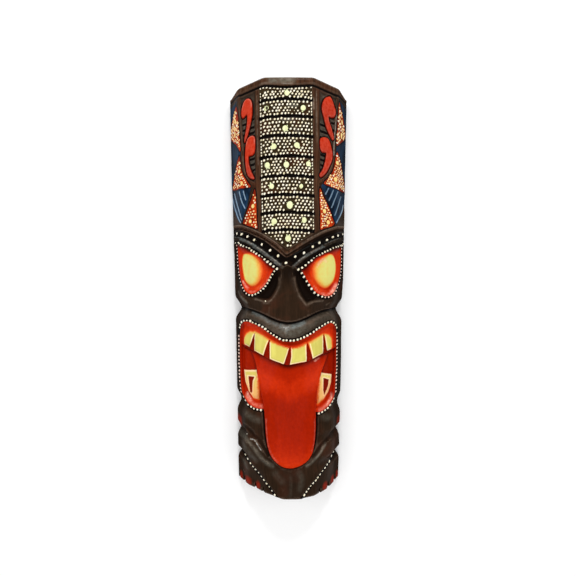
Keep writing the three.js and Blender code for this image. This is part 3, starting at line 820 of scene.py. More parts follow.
# The tongue: it runs out over the lower rim and stands proud of the body.
tongue = {
    "outline": [(-50, -72), (-46, -78.5), (-41.5, -89), (-38.5, -102), (-36, -116), (-33, -129),
        (-30.5, -140.5), (-29.5, -150), (-28.5, -162), (-27.8, -174.5), (-26.7, -184), (-25.2, -192),
        (-22.2, -200.5), (-18, -207), (-12.2, -212.5), (-6, -216), (1.8, -217.2), (7.5, -216.5),
        (14, -214.2), (20.3, -210.5), (25.3, -205.5), (29.2, -198), (31.4, -189), (32.6, -179.5),
        (33.2, -168), (33.2, -159), (33.5, -146), (34.5, -131.5), (37, -116), (40, -104), (44.5, -92.5),
        (49, -81), (51, -74)],
    "profile": [(-219, 68), (-205, 71.4), (-190, 71.6), (-165, 70), (-126, 70), (-100, 66), (-72, 60)],
    "crown": 3.6,
    "centre": 2,
    "half": 31,
    "round": 3.4,
    "roundDrop": 2.6,
    "moat": 2.6,
}
# painted highlights along the tongue's edges
tongueStreaks = {
    "shine": [
        (0.16, 1.6, [(-27.2, -158), (-26.4, -172), (-25.2, -184), (-23.4, -192), (-20.4, -199.6),
            (-16.4, -205), (-12.6, -209)]),
        (0.1, 1.4, [(31.6, -158), (31.4, -176), (30, -188), (27.4, -196.6)]),
    ],
}


def addTongue(face, height):
    x, y = face.x, face.y
    distance = face.insideCurve(tongue["outline"], 3, reach=30)
    places, levels = zip(*tongue["profile"])
    crest = sum(np.interp(y + k, places, levels) for k in (-9, -4, 0, 4, 9)) / 5
    share = (x - tongue["centre"]) / tongue["half"]
    edge = np.clip(1 - distance / tongue["round"], 0, 1)
    top = crest - tongue["crown"] * np.clip(share**2, 0, 1.4)
    top = top - tongue["roundDrop"] * (1 - np.sqrt(1 - edge**2 * 0.98))
    gum = np.interp(x, *curve(mouth["gumEdge"]).T)
    free = (distance > 0.3) & (y < gum - 0.4)
    moat = tongue["moat"] * smooth(1 + distance / 4) * (distance < 0) * (y < -150)
    height = np.where(free, np.maximum(height, top), height - moat)
    # painted shade around the tongue below the mouth
    face.mark("paintedShade", 0.55 * smooth(1.1 + distance / 9) * (distance < 0) * (y < -152))
    # a painted highlight in a vee across the tongue
    vee = y - (-128 + 0.5 * np.abs(x - 0.5))
    warmth = 0.46 + 0.07 * smooth(1.2 - np.abs(vee - 2) / 16) + 0.03 * smooth(1.4 - distance / 1.6)
    warmth = warmth + 0.09 * smooth((-186 - y) / 30) - 0.035 * smooth(1.3 - np.abs(y + 152) / 36)
    shadow = 0.3 * decay(gum - y - 1, 2.2, 60) + 0.12 * smooth(1 - (gum - y) / 9) * bell(x - 1, 13)
    face.tone(free, warmth - shadow)
    # painted shade on the mouth's floor beside the tongue root
    near = (distance < 0) & (distance > -5) & (y > -149) & (y < gum)
    deepest = 0.2 - 0.12 * smooth((-88 - y) / 30)
    face.tone(near, face.warmth - deepest * smooth(1 + distance / 5))
    face.paint("warm", np.where(y < gum, distance + 0.4, -farAway))
    face.wipe("tooth", np.where(y < -95, distance + 1.1, -farAway))
    face.paint("black", np.where((y < -149) & (distance < 0), distance + 2.2, -farAway))
    face.wipe("black", np.where(y < gum, distance + 0.4, -farAway))
    face.streaks(tongueStreaks)
    return height


# The body below the mouth: shoulders, arms that sweep down to the middle, and feet with toes.
body = {
    "armGrooves": [
        [(-80, -183), (-66, -178), (-61.5, -175.5), (-54.5, -175.5), (-47.5, -178.5), (-43.5, -183.5),
         (-38, -186), (-33.5, -190.5), (-29.5, -197), (-25, -204)],
        [(80, -186), (70, -187.5), (63, -187.5), (55.5, -186.5), (48.5, -189.5), (41.5, -194), (36, -200),
         (31.5, -205.5)],
    ],
    "armRidges": [
        [(-60, -188), (-52, -188.5), (-46.5, -188.5), (-42, -189), (-38, -192.5), (-34.5, -197.5),
         (-30, -202.5), (-25.5, -208), (-19.5, -213.5), (-12, -218.5)],
        [(62, -193), (52, -193.5), (45, -195.5), (41, -199.5), (36.5, -205), (29, -212.5), (18, -219)],
    ],
    "footLines": [
        [(-80, -213), (-66, -215.5), (-60.5, -217.5), (-55, -219.5), (-50, -222), (-44, -227.5),
         (-37, -233.5), (-29.5, -240), (-22.5, -246.5), (-17, -252.5), (-12, -258)],
        [(80, -213), (68, -217), (61.5, -219.5), (55, -221.5), (49.5, -224), (44, -227.5), (36, -234.5),
         (29.5, -239.5), (24, -245), (19, -250.5), (14.5, -256)],
    ],
    "toes": [  # middle, half width, where it starts
        (-61.8, 3.8, -248), (-49.8, 7.4, -248), (-37, 4.6, -248.5), (64.2, 3.2, -247), (56, 4.4, -248),
        (44.6, 5.2, -248.5),
    ],
    "armCut": 2.8,
    "armHalf": 4.8,
    "ridgeWidth": 9,
    "ridgeRise": 1.3,
    "footStep": 1.4,
    "footCut": 1.5,
    "toeRise": 2.4,
    "toeGap": 1.5,
}
# Grey lines: painted highlights along the arm bands, and grey patches; wear with a painted highlight on the
# left arm ridge.
bodyStreaks = {
    "grey": [
        (0.5, 9, [(-64, -191), (-56, -189.5), (-48.5, -193.5), (-41.5, -199.5), (-36, -207), (-30, -213),
            (-20, -217)]),
        (0.45, 6, [(45.5, -195), (42, -199), (38.5, -203.5), (29, -212), (22, -216.5)]),
        (0.85, 4, [(46, -194.5), (42, -199), (38, -204), (34, -208)]),
        (0.3, 12, [(-52, -158), (-44, -161), (-36, -162)]),
        (0.3, 10, [(-58, -226), (-54, -232)]),
        (0.2, 11, [(13, -224), (16, -232), (14, -242)]),
        (0.16, 5, [(2, -228), (3, -240), (2, -250)]),
        (0.2, 12, [(-16, -226), (-8, -234)]),
        (0.25, 12, [(-58, -200), (-50, -206), (-42, -216)]),
        (0.2, 12, [(42, -158), (50, -162)]),
    ],
    "wearAndHighlight": [
        (0.34, 4.5, [(-52, -192), (-45, -196), (-39, -203), (-34, -209), (-25, -214.5)]),
        (1, 2.7, [(-47.5, -188.4), (-43, -188), (-40, -190), (-36.8, -194.8), (-34, -198.5)]),
        (0.5, 2, [(-34, -198.5), (-31, -201)]),
        (0.6, 3, [(43, -195.5), (41.5, -197.5)]),
        (0.45, 2.6, [(44.5, -196.5), (41, -200.5), (36, -206)]),
        (0.3, 2.6, [(30, -211), (22, -216)]),
        (0.6, 1.6, [(-61, -179), (-60.6, -181.5)]),
        (0.4, 1.8, [(-60, -240.5), (-57.8, -242.5)]),
    ],
}


def carveBody(face):
    x, y = face.x, face.y
    # painted shade on the steep flanks below the brow and under the tongue's tip
    flank = smooth((np.abs(x) / halfWidth(x, y) - 0.8) / 0.12)
    face.mark("paintedShade", 0.5 * flank * smooth((90 - y) / 20))
    face.mark("paintedShade", 0.3 * smooth(1.3 - np.hypot(x, y + 236) / 22))
    for line in body["armGrooves"]:
        distance = face.away(curve(line), edge=False)
        face.cut(body["armCut"] * smooth(1 - distance / body["armHalf"]))
        # painted shade in the arm groove
        face.mark("paintedShade", 0.4 * smooth(1.2 - distance / 3.8))
    for line in body["armRidges"]:
        face.ridge(curve(line), body["ridgeWidth"], body["ridgeRise"])
    for line in body["footLines"]:
        shape = curve(line)
        distance = face.away(shape)
        outside = np.abs(x) > 9
        outward = np.sign(shape[0, 0])
        order = np.argsort(shape[:, 0])
        beyond = (y < np.interp(x, *shape[order].T)) & (x * outward > 0)
        face.cut(np.where(beyond, body["footStep"] * smooth(distance / 2.5), 0))
        face.cut(body["footCut"] * smooth(1.2 - distance / 1.7) * outside * smooth((y + 253) / 4))
        face.paint("black", 1.9 - distance)
    for place, reach, start in body["toes"]:
        across = np.abs(x - place) / reach
        ahead = smooth((start + 1 - y) / 4)
        face.cut(-body["toeRise"] * np.sqrt(np.clip(1 - across**2, 0, 1)) * ahead)
        groove = smooth(1 - np.abs(across - 1.12) / 0.34) * (np.abs(x) < log["footHalf"] - 1.5)
        face.cut(body["toeGap"] * groove * ahead)
        # painted shade in the grooves between the toes
        face.mark("paintedShade", 0.4 * groove * ahead)
        face.meet(np.where(y < start + 12, np.abs(across - 1) * reach, farAway))
        outward = (x - place) * np.sign(place) / reach
        nail = 1 - np.hypot((outward - 0.35) * 1.7, (y + 250.5) / 5)
        face.paint("toe", 1.9 * nail)
    waist = smooth((np.abs(x) - 57 - 2 * (x > 0)) / 6) * smooth(1.2 - np.abs(y + 174) / 11)
    face.paint("toe", 2.2 * waist - 1.5 - 0.6 * (x > 0))
    face.streaks(bodyStreaks)


def carvedHeight(face):
    carveForehead(face)
    carveBody(face)
    carveBrow(face)
    carveEyes(face)
    carveNose(face)
    carveMouth(face)
    height = logHeight(face.x, face.y) - face.depth
    height = addTongue(face, height)
    end = np.minimum(log["top"] - face.y, face.y - log["foot"])
    t = np.clip(1 - end / log["endRound"], 0, 1)
    height = height - log["endRound"] * (1 - np.sqrt(1 - 0.96 * t**2))
    return np.maximum(height, log["lowest"])


# The solid: a grid laid over the front, finer along every cut, then the sides, the flat back rim
# and the hollow.
hollow = {"rim": 52, "roof": 42, "length": 228, "depth": 30, "steps": 3}
backEdge = {"height": 1.2, "shareX": 0.994, "shareY": 0.998}
unevenness = [  # the log's own and the tool's: frequency across and along, start, height
    (0.09, 0.05, 3.1, 0.35),
    (0.5, 0.12, 7.7, 0.12),
]
acrossShares = ([0, 0.27, 0.67, 1], [0, 0.38, 0.818, 1])


def onFace(u, v):
    y = lerp(log["foot"], log["top"], (v + 1) / 2)
    x = np.sign(u) * np.interp(np.abs(u), *acrossShares) * halfWidth(u, y)
    return x, y


def buildMask():
    bm = bmesh.new()
    bmesh.ops.create_grid(bm, x_segments=grid["columns"], y_segments=grid["rows"], size=1)
    for reach in (grid["nearFirst"], grid["nearSecond"]):
        flat = np.array([v.co[:2] for v in bm.verts])
        face = Carving(*onFace(flat[:, 0], flat[:, 1]))
        carvedHeight(face)
        near = face.near < reach
        bm.verts.index_update()
        edges = [e for e in bm.edges if near[e.verts[0].index] or near[e.verts[1].index]]
        bmesh.ops.subdivide_edges(bm, edges=edges, cuts=1, use_grid_fill=True)
    print("grid", len(bm.verts), "points")
    flat = np.array([v.co[:2] for v in bm.verts])
    x, y = onFace(flat[:, 0], flat[:, 1])
    face = Carving(x, y)
    z = carvedHeight(face)
    for vert, px, py, pz in zip(bm.verts, x, y, z):
        for across, lengthwise, start, height in unevenness:
            pz += noise.noise(Vector((px * across, py * lengthwise, start))) * height
        vert.co = (px, py, pz)
    values = {**face.paints, **face.marks, "warmth": face.warmth, "carved": face.depth}
    layers = {name: bm.verts.layers.float.new(name) for name in values}
    for name, layer in layers.items():
        for vert, value in zip(bm.verts, values[name]):
            vert[layer] = value
    ring = [e for e in bm.edges if e.is_boundary]

    def extend(ring, move):
        made = bmesh.ops.extrude_edge_only(bm, edges=ring)["geom"]
        for vert in (v for v in made if isinstance(v, bmesh.types.BMVert)):
            vert.co = move(vert.co)
        return [e for e in made if isinstance(e, bmesh.types.BMEdge) and e.is_boundary]

    ring = extend(ring, lambda p: Vector((p.x, p.y, backEdge["height"])))
    ring = extend(ring, lambda p: Vector((p.x * backEdge["shareX"], p.y * backEdge["shareY"], 0)))
    scaleY = hollow["length"] / log["top"]
    ring = extend(ring, lambda p: Vector((p.x / halfWidth(p.x, p.y) * hollow["rim"], p.y * scaleY, 0)))
    widths = np.linspace(hollow["rim"], hollow["roof"], hollow["steps"] + 1)
    for step in range(1, hollow["steps"] + 1):
        narrower = widths[step] / widths[step - 1]
        depth = hollow["depth"] * step / hollow["steps"]
        ring = extend(ring, lambda p: Vector((p.x * narrower, p.y, depth)))
    bmesh.ops.contextual_create(bm, geom=ring)
    bmesh.ops.triangulate(bm, faces=[f for f in bm.faces if len(f.verts) > 4])
    bmesh.ops.recalc_face_normals(bm, faces=bm.faces)
    bm.normal_update()
    wear = bm.verts.layers.float.new("wear")
    for vert in bm.verts:
        bends = [(e.other_vert(vert).co - vert.co).normalized().dot(vert.normal) for e in vert.link_edges]
        vert[wear] = -sum(bends) / len(bends)
    for vert in bm.verts:
        vert.co = (vert.co.x * mm, (vert.co.y + faceZero) * mm, vert.co.z * mm)
    for f in bm.faces:
        f.smooth = True
    return finishPiece(bm, "carved_wood", stainedWood())


def putObject(name, data):
    thing = bpy.data.objects.new(name, data)
    scene.collection.objects.link(thing)
    return thing


def putMesh(bm, name, material):
    mesh = bpy.data.meshes.new(name)
    bm.to_mesh(mesh)
    bm.free()
    mesh.materials.append(material)
    return putObject(name, mesh)


def finishPiece(bm, name, material):
    piece = putMesh(bm, name, material)
    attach(piece, "root")
    print(name, sum(len(p.vertices) - 2 for p in piece.data.polygons), "triangles")
    return piece


# Materials. Helpers first: a node with its values and links in one call.
def feed(tree, node, values):
    for name, value in values.items():
        socket = node.inputs[name]
        if isinstance(value, bpy.types.NodeSocket):
            tree.links.new(value, socket)
        else:
            socket.default_value = value


def add(tree, kind, values=None, **settings):
    node = tree.nodes.new(kind)
    for name, value in settings.items():
        setattr(node, name, value)
    feed(tree, node, values or {})
    return node


def maths(tree, operation, a, b=0.0, clamp=False):
    node = add(tree, "ShaderNodeMath", {0: a, 1: b}, operation=operation, use_clamp=clamp)
    return node.outputs[0]


def blend(tree, factor, a, b):
    # inputs 6 and 7 are the colours that it mixes, and output 2 is the mixed colour
    return add(tree, "ShaderNodeMix", {0: factor, 6: a, 7: b}, data_type="RGBA").outputs[2]


def noiseAt(tree, place, scale, detail, roughness=0.5):
    values = {"Vector": place, "Scale": scale, "Detail": detail, "Roughness": roughness}
    return add(tree, "ShaderNodeTexNoise", values).outputs["Fac"]


def stepped(tree, value, start, end, low=0.0, high=1.0):
    node = add(tree, "ShaderNodeMapRange", {"Value": value, "From Min": start, "From Max": end,
                                            "To Min": low, "To Max": high})
    return node.outputs["Result"]


def colour(hexText):
    # a colour as it looks on screen
    parts = [int(hexText[i:i + 2], 16) / 255 for i in (0, 2, 4)]
    return (*(p / 12.92 if p <= 0.04045 else ((p + 0.055) / 1.055) ** 2.4 for p in parts), 1)


def newGroup(name, inputs, outputs):
    group = bpy.data.node_groups.new(name, "ShaderNodeTree")
    for socket, default in inputs.items():
        made = group.interface.new_socket(socket, in_out="INPUT", socket_type="NodeSocketFloat")
        made.default_value = default
    for socket in outputs:
        group.interface.new_socket(socket, in_out="OUTPUT", socket_type="NodeSocketFloat")
    return group, group.nodes.new("NodeGroupInput"), group.nodes.new("NodeGroupOutput")


noiseScales = {  # in each metre
    "fibres": 420,
    "pores": 1100,
    "patches": 28,
    "flecks": 260,
    "rubs": 160,
    "strokes": 150,
    "edges": 330,
}
alongGrain = (1, 0.07, 1)
alongBrush = (1, 0.3, 1)
brushLean = (0, 0, 0.25)


def centred(tree, value, amount):
    return maths(tree, "MULTIPLY", maths(tree, "SUBTRACT", value, 0.5), amount)


def grainGroup():
    # long fibres along the mask, with darker pores
    outputs = ["Streaks", "Pores", "Patches", "Flecks"]
    group, given, result = newGroup("woodGrain", {"Fineness": 1.0}, outputs)
    place = add(group, "ShaderNodeTexCoord").outputs["Object"]
    long = add(group, "ShaderNodeMapping", {"Vector": place, "Scale": alongGrain}).outputs[0]
    fibres = maths(group, "MULTIPLY", given.outputs["Fineness"], noiseScales["fibres"])
    pores = maths(group, "MULTIPLY", given.outputs["Fineness"], noiseScales["pores"])
    feed(group, result, {
        "Streaks": noiseAt(group, long, fibres, 4, 0.65),
        "Pores": stepped(group, noiseAt(group, long, pores, 2), 0.52, 0.68),
        "Patches": noiseAt(group, place, noiseScales["patches"], 3, 0.6),
        "Flecks": noiseAt(group, place, noiseScales["flecks"], 3, 0.6),
    })
    return group


def wearGroup():
    # edges where the stain is rubbed thin, broken up by noise
    group, given, result = newGroup("edgeWear", {"Wear": 0.0, "From": 0.06, "To": 0.2}, ["Mask"])
    place = add(group, "ShaderNodeTexCoord").outputs["Object"]
    broken = centred(group, noiseAt(group, place, noiseScales["rubs"], 3), 0.16)
    sharp = maths(group, "ADD", given.outputs["Wear"], broken)
    feed(group, result, {"Mask": stepped(group, sharp, given.outputs["From"], given.outputs["To"])})
    return group


def brushGroup():
    # thick and thin strokes of hand-laid paint, and the wobble of its edges
    group, given, result = newGroup("brushMarks", {"Size": 1.0}, ["Strokes", "Edge"])
    place = add(group, "ShaderNodeTexCoord").outputs["Object"]
    turned = {"Vector": place, "Scale": alongBrush, "Rotation": brushLean}
    drawn = add(group, "ShaderNodeMapping", turned).outputs[0]
    size = maths(group, "MULTIPLY", given.outputs["Size"], noiseScales["strokes"])
    feed(group, result, {
        "Strokes": noiseAt(group, drawn, size, 3),
        "Edge": centred(group, noiseAt(group, place, noiseScales["edges"], 1), 0.8),
    })
    return group


groups = {"grain": grainGroup(), "wear": wearGroup(), "brush": brushGroup()}


def useGroup(tree, name, values):
    return add(tree, "ShaderNodeGroup", values, node_tree=groups[name])


def newMaterial(name, values):
    material = bpy.data.materials.new(name)
    material.use_nodes = True
    tree = material.node_tree
    shader = tree.nodes["Principled BSDF"]
    feed(tree, shader, values)
    return material, tree, shader


# Among these: a near-black for deep cuts and painted shade, a cool grey and a pale grey-white for painted
# highlights, a brown-grey for wear with painted highlight, and a pinkish colour for painted highlights on
# paint.
tones = {name: colour(tone) for name, tone in {
    "wood": "37261a", "darkStreak": "241910", "redStreak": "4a2416", "grey": "706c60", "coolHighlight": "7e8684",
    "deep": "120c09", "rubbed": "6d5a4c", "wearAndHighlight": "8a7a6a", "pale": "ccd2d0", "glint": "ffc4ac",
    "ground": "261c10", "groundLight": "40341f", "black": "0e0a08", "rail": "583a28", "railDark": "362216",
    "blue": "0e1c2c", "blueLight": "234464", "stripe": "98b4cc", "orange": "c03c10", "orangeDark": "7c1c06",
    "toe": "8a2212", "toothEdge": "ffe9b4", "tooth": "e0d66e", "toothShade": "d4c862", "amber": "ffb474",
}.items()}
warmTones = {0.0: "200503", 0.2: "560c03", 0.36: "881602", 0.46: "a81f03", 0.54: "c42c08", 0.62: "da3c12",
             0.74: "e4662a", 0.84: "e89c46", 0.92: "e4c25e", 1.0: "ddd87c"}


def warmRamp(tree, factor):
    # near-black red, which also serves as painted shade, over red and orange to yellow
    ramp = add(tree, "ShaderNodeValToRGB", {"Fac": factor})
    elements = ramp.color_ramp.elements
    elements.remove(elements[0])
    for i, (place, tone) in enumerate(warmTones.items()):
        element = elements[0] if i == 0 else elements.new(place)
        element.position = place
        element.color = colour(tone)
    return ramp.outputs["Color"]


def stainedWood():
    material, tree, shader = newMaterial("stained_wood", {
        "Coat Roughness": 0.14, "Coat IOR": 1.25, "Specular IOR Level": 0.0,
    })
    values = {name: add(tree, "ShaderNodeAttribute", attribute_name=name).outputs["Fac"]
              for name in [*paintNames, *markNames, "warmth", "carved", "wear"]}
    grain = useGroup(tree, "grain", {"Fineness": 1.0}).outputs
    brush = useGroup(tree, "brush", {"Size": 1.0}).outputs
    rubbed = useGroup(tree, "wear", {"Wear": values["wear"], "From": 0.05, "To": 0.2}).outputs["Mask"]
    streaks, flecks, patches = grain["Streaks"], grain["Flecks"], grain["Patches"]

    def times(a, b):
        return maths(tree, "MULTIPLY", a, b)

    def plus(a, b, clamp=False):
        return maths(tree, "ADD", a, b, clamp)

    def mask(name, soft=0.25):
        return stepped(tree, plus(values[name], brush["Edge"]), -soft, soft)

    def turning(value, start, end, first, second):
        return blend(tree, stepped(tree, value, start, end), tones[first], tones[second])

    def layered(base, *layers):
        for factor, tone in layers:
            base = blend(tree, factor, base, tone)
        return base

    broken = stepped(tree, flecks, 0.36, 0.6, 0.45, 1)
    thin = stepped(tree, flecks, 0.38, 0.56, 0.35, 1)
    # darker in cuts over 1.6 mm deep, with the painted shade added
    deep = plus(times(stepped(tree, values["carved"], 1.6, 5), 0.7), values["paintedShade"], True)
    mottle = plus(times(streaks, 0.5), times(patches, 0.5))
    wood = layered(
        turning(mottle, 0.36, 0.66, "darkStreak", "wood"),
        (mask("ground"), turning(flecks, 0.4, 0.65, "ground", "groundLight")),
        (mask("rail"), turning(streaks, 0.4, 0.64, "railDark", "rail")),
        (times(stepped(tree, patches, 0.52, 0.7), 0.5), tones["redStreak"]),
        (times(values["grey"], broken), tones["grey"]),
        (times(deep, 0.92), tones["deep"]),
        (times(rubbed, 0.4), tones["rubbed"]),
        (times(mask("black"), 0.94), tones["black"]),
        # cool painted highlights, then wear with painted highlight
        (times(values["coolHighlight"], broken), tones["coolHighlight"]),
        (times(values["wearAndHighlight"], thin), turning(values["wearAndHighlight"], 0.55, 1, "wearAndHighlight", "pale")),
    )
    strokes = stepped(tree, brush["Strokes"], 0.4, 0.62)
    onBlack = times(mask("black"), maths(tree, "SUBTRACT", 1, mask("orange")))
    mixed = plus(times(flecks, 0.6), times(brush["Strokes"], 0.4))
    warm = warmRamp(tree, plus(values["warmth"], centred(tree, mixed, 0.19)))
    tooth = layered(
        tones["toothEdge"],
        (stepped(tree, values["toothInner"], 0.7, 1.7),
         turning(brush["Strokes"], 0.4, 0.65, "toothShade", "tooth")),
        (values["amber"], tones["amber"]),
    )
    painted = layered(
        wood,
        (mask("blue"), blend(tree, times(strokes, 0.6), tones["blue"], tones["blueLight"])),
        (times(mask("stripe", 0.3), 0.8), tones["stripe"]),
        (mask("orange"), blend(tree, strokes, tones["orangeDark"], tones["orange"])),
        (times(onBlack, 0.9), tones["black"]),
        # painted shade over the blue
        (times(values["paintedShade"], mask("blue")), tones["deep"]),
        (mask("warm"), warm),
        (mask("tooth", 0.3), tooth),
        (times(mask("toe", 0.9), 0.8), tones["toe"]),
        # painted highlights over the paint
        (times(values["shine"], thin), tones["glint"]),
    )
    ripples = maths(tree, "SUBTRACT", times(streaks, 0.7), times(grain["Pores"], 0.25))
    bump = add(tree, "ShaderNodeBump", {"Height": ripples, "Strength": 0.35, "Distance": 0.0006})
    feed(tree, shader, {
        "Base Color": painted,
        "Roughness": stepped(tree, patches, 0.3, 0.7, 0.45, 0.65),
        "Coat Weight": stepped(tree, values["paintedShade"], 0, 0.5, 0.16, 0.03),
        "Normal": bump.outputs["Normal"],
    })
    return material


def dotPaint(name, centre, edge):
    material, tree, shader = newMaterial(name, {"Roughness": 0.5, "Specular IOR Level": 0.15})
    strokes = useGroup(tree, "brush", {"Size": 2.0}).outputs["Strokes"]
    mixed = blend(tree, stepped(tree, strokes, 0.35, 0.6), colour(edge), colour(centre))
    feed(tree, shader, {"Base Color": mixed})
    return material


# Paint dots: low domes that sit on the carved surface.
dome = {"sides": 10, "top": 0.72, "inset": 0.3, "rise": 0.35, "sunk": 0.1, "feel": 0.7, "steepest": 1.7}


def heightAt(x, y):
    return carvedHeight(Carving(x, y))


def layDots(name, spots, material, thick=0.34, lift=0.0):
    # spots are (x, y, half length, half width, lean)
    spots = np.array(spots, float)
    spots = spots[np.abs(spots[:, 0]) < halfWidth(spots[:, 0], spots[:, 1]) - 1]
    x, y = spots[:, 0], spots[:, 1]
    z = heightAt(x, y)
    step = dome["feel"]
    slopeX = (heightAt(x + step, y) - heightAt(x - step, y)) / (2 * step)
    slopeY = (heightAt(x, y + step) - heightAt(x, y - step)) / (2 * step)
    bm = bmesh.new()
    for (px, py, half, narrow, lean), pz, riseX, riseY in zip(spots, z, slopeX, slopeY):
        leanX, leanY = np.clip((riseX, riseY), -dome["steepest"], dome["steepest"])
        tilt = Vector((-leanX, -leanY, 1)).normalized()
        drape = Matrix(((1, 0, tilt.x, 0), (0, 1, tilt.y, 0), (leanX, leanY, tilt.z, 0), (0, 0, 0, 1)))
        spin = Matrix.Rotation(lean, 4, "Z")
        place = Matrix.Translation((px * mm, (py + faceZero) * mm, (pz + lift - dome["sunk"]) * mm))
        shape = Matrix.Diagonal((half * mm, narrow * mm, narrow * mm, 1))
        made = bmesh.ops.create_cone(bm, cap_ends=True, segments=dome["sides"], radius1=1, depth=thick,
                                     radius2=dome["top"], matrix=place @ drape @ spin @ shape)
        caps = (f for v in made["verts"] for f in v.link_faces if len(f.verts) == dome["sides"])
        cap = max(caps, key=lambda f: f.calc_center_median().dot(tilt))
        bmesh.ops.inset_region(bm, faces=[cap], thickness=narrow * dome["inset"] * mm,
                               depth=narrow * thick * dome["rise"] * mm)
    for f in bm.faces:
        f.smooth = True
    return finishPiece(bm, name, material)


def rowOf(line, pitch, size, rng, lean=0.8, stretch=1.15):
    # a hand-dotted row along a line
    row = []
    for x, y in along(line, pitch):
        half = size * rng.uniform(0.9, 1.12)
        row.append((x + rng.uniform(-0.3, 0.3), y + rng.uniform(-0.3, 0.3), half * stretch, half,
                    lean + rng.uniform(-0.4, 0.4)))
    return row


drops = [  # place, half width, half height
    (-2, 232.9, 3.7, 4.1), (-25.8, 214.9, 3.2, 3.6), (17.6, 215.1, 4, 4.4), (-4, 190.8, 4.2, 4.4),
    (-17.2, 169.4, 3.9, 4.2), (9.9, 170.7, 4.2, 4.2), (-25, 147, 3.7, 4.4), (-2.5, 147.4, 4.4, 4.6),
    (23.5, 148.6, 3.5, 4), (-20, 121.8, 3.9, 4.2), (15.2, 122, 3.5, 4.2), (1.5, 99.5, 4.6, 5.8),
    (-17, 80, 4.2, 4.5), (18.8, 81.6, 3.6, 4.4), (-0.5, 59.4, 4.3, 4.6),
]
sideDrops = [
    (-68.2, 214.5, 1.7, 3.8), (-69, 198.5, 1.7, 4.6), (-62.5, 147.5, 2, 3), (-58.5, 131.5, 2, 3.2),
    (-43.5, 100.5, 2.4, 3.2), (-47, 82.5, 2.4, 3), (69, 215, 1.7, 4), (68, 197, 2, 4.6),
    (62, 158, 2.4, 3.2), (59, 136.5, 2.8, 3.6), (44, 94.5, 2.6, 3.4), (49, 81.5, 2.6, 3.2),
]
strokes = [  # lone strokes of cream paint: place, half length, half width, lean
    (-69.5, 60.2, 2.2, 1, -0.2), (-64.5, 59.2, 1.9, 1, -0.25), (70.4, 56.6, 2, 1.1, 0.8),
    (73, 59.6, 1.5, 0.9, 0.9), (72, 72.2, 1.9, 1.1, 0.4), (-27.5, -15, 0.9, 0.8, 0),
    (-52.5, -185, 0.8, 0.7, 0),
]
bareSpot = (-25.8, 214.9, 2.2, 1.6, 1.5)  # where the second drop is open in its middle
upright = 1.57  # the lean of a drop that is taller than wide
browDot = {"half": 2.1, "narrow": 1.6, "lean": 0.9, "waver": 0.4}
dotPaints = {  # centre, edge
    "cream_paint": ("fff7e2", "f2e4bc"),
    "pale_paint": ("dde0a8", "eef2c4"),
    "peach_paint": ("ffe0a0", "f8bc74"),
    "rosy_paint": ("fde0cc", "f4c0a8"),
    "amber_paint": ("f6e090", "ecc06c"),
    "bare_wood": ("4a4028", "3a3020"),
}
dotRows = {  # pitch, size
    "lip": (4.3, 1.5),
    "sides": (4.6, 1.4),
    "chin": (4.5, 1.45),
    "leftFoot": (4.8, 1.2),
    "rightFoot": (4, 1.2),
}


def clearOf(ovals, x, y, gap):
    return all(math.hypot((x - a) / (b + gap), (y - c) / (d + gap)) > 1 for a, c, b, d in ovals)


columnRows = {
    "top": 240.8,
    "foot": 44,
    "pitch": 3.9,
    "margin": 3.1,
    "topRows": (4, 238.4, 228.8),  # in the topmost panel: how many, the first, the last
    "topBend": -1.2,
    "left": (-33.6, -31),  # the row's ends at the first groove and a span below it
    "right": (27.2, 29.6),
    "span": 140,
    "last": 14,
    "shift": 1.1,
}


def columnDots():
    rng = random.Random(5)
    spots = []
    levels = [columnRows["top"], *column["grooves"], columnRows["foot"]]
    shift, margin, end = columnRows["shift"], columnRows["margin"], columnRows["last"]
    for panel, (upper, lower) in enumerate(zip(levels[:-1], levels[1:])):
        count, first, last = columnRows["topRows"]
        if panel > 0:
            count = round((upper - lower - 2) / columnRows["pitch"])
            first, last = upper - margin, lower + margin
        for row in range(count):
            middle = lerp(first, last, row / (count - 1))
            below = (levels[1] - middle) / columnRows["span"]
            left, right = lerp(*columnRows["left"], below), lerp(*columnRows["right"], below)
            bend = columnRows["topBend"] if panel == 0 and row == 0 else column["arch"]
            for k in range(end + 1):
                x = lerp(left, right, k / end)
                if k not in (0, end):
                    x += rng.uniform(-0.6, 0.6) + (shift if row % 2 else -shift)
                y = middle - bend * (x / column["half"]) ** 2 + rng.uniform(-0.5, 0.5)
                if clearOf(drops, x, y, 1.1):
                    narrow = rng.uniform(1.22, 1.5)
                    spots.append((x, y, narrow * rng.uniform(1.1, 1.3), narrow, rng.uniform(0.5, 1.3)))
    return within(spots, [column["outline"]], 1)


def within(spots, outlines, margin):
    places = Carving(*np.array(spots)[:, :2].T)
    depths = np.max([places.inside(outline) for outline in outlines], axis=0)
    return [spot for spot, depth in zip(spots, depths) if depth > margin]


def panelDots():
    rng = random.Random(8)
    spots = []
    for panel, pitch in zip(orangePanels, dotPitches):
        (x0, y0), (x1, y1) = np.min(panel, axis=0), np.max(panel, axis=0)
        for row, y in enumerate(np.arange(y0 + pitch / 2, y1, pitch * 0.94)):
            for x in np.arange(x0 + pitch * (row % 2) / 2, x1, pitch):
                px, py = x + rng.uniform(-0.5, 0.5), y + rng.uniform(-0.5, 0.5)
                if clearOf(sideDrops, px, py, 1):
                    size = rng.uniform(1.05, 1.45)
                    spots.append((px, py, size * rng.uniform(1, 1.15), size, rng.uniform(0, 1.6)))
    return within(spots, orangePanels, 0.9)


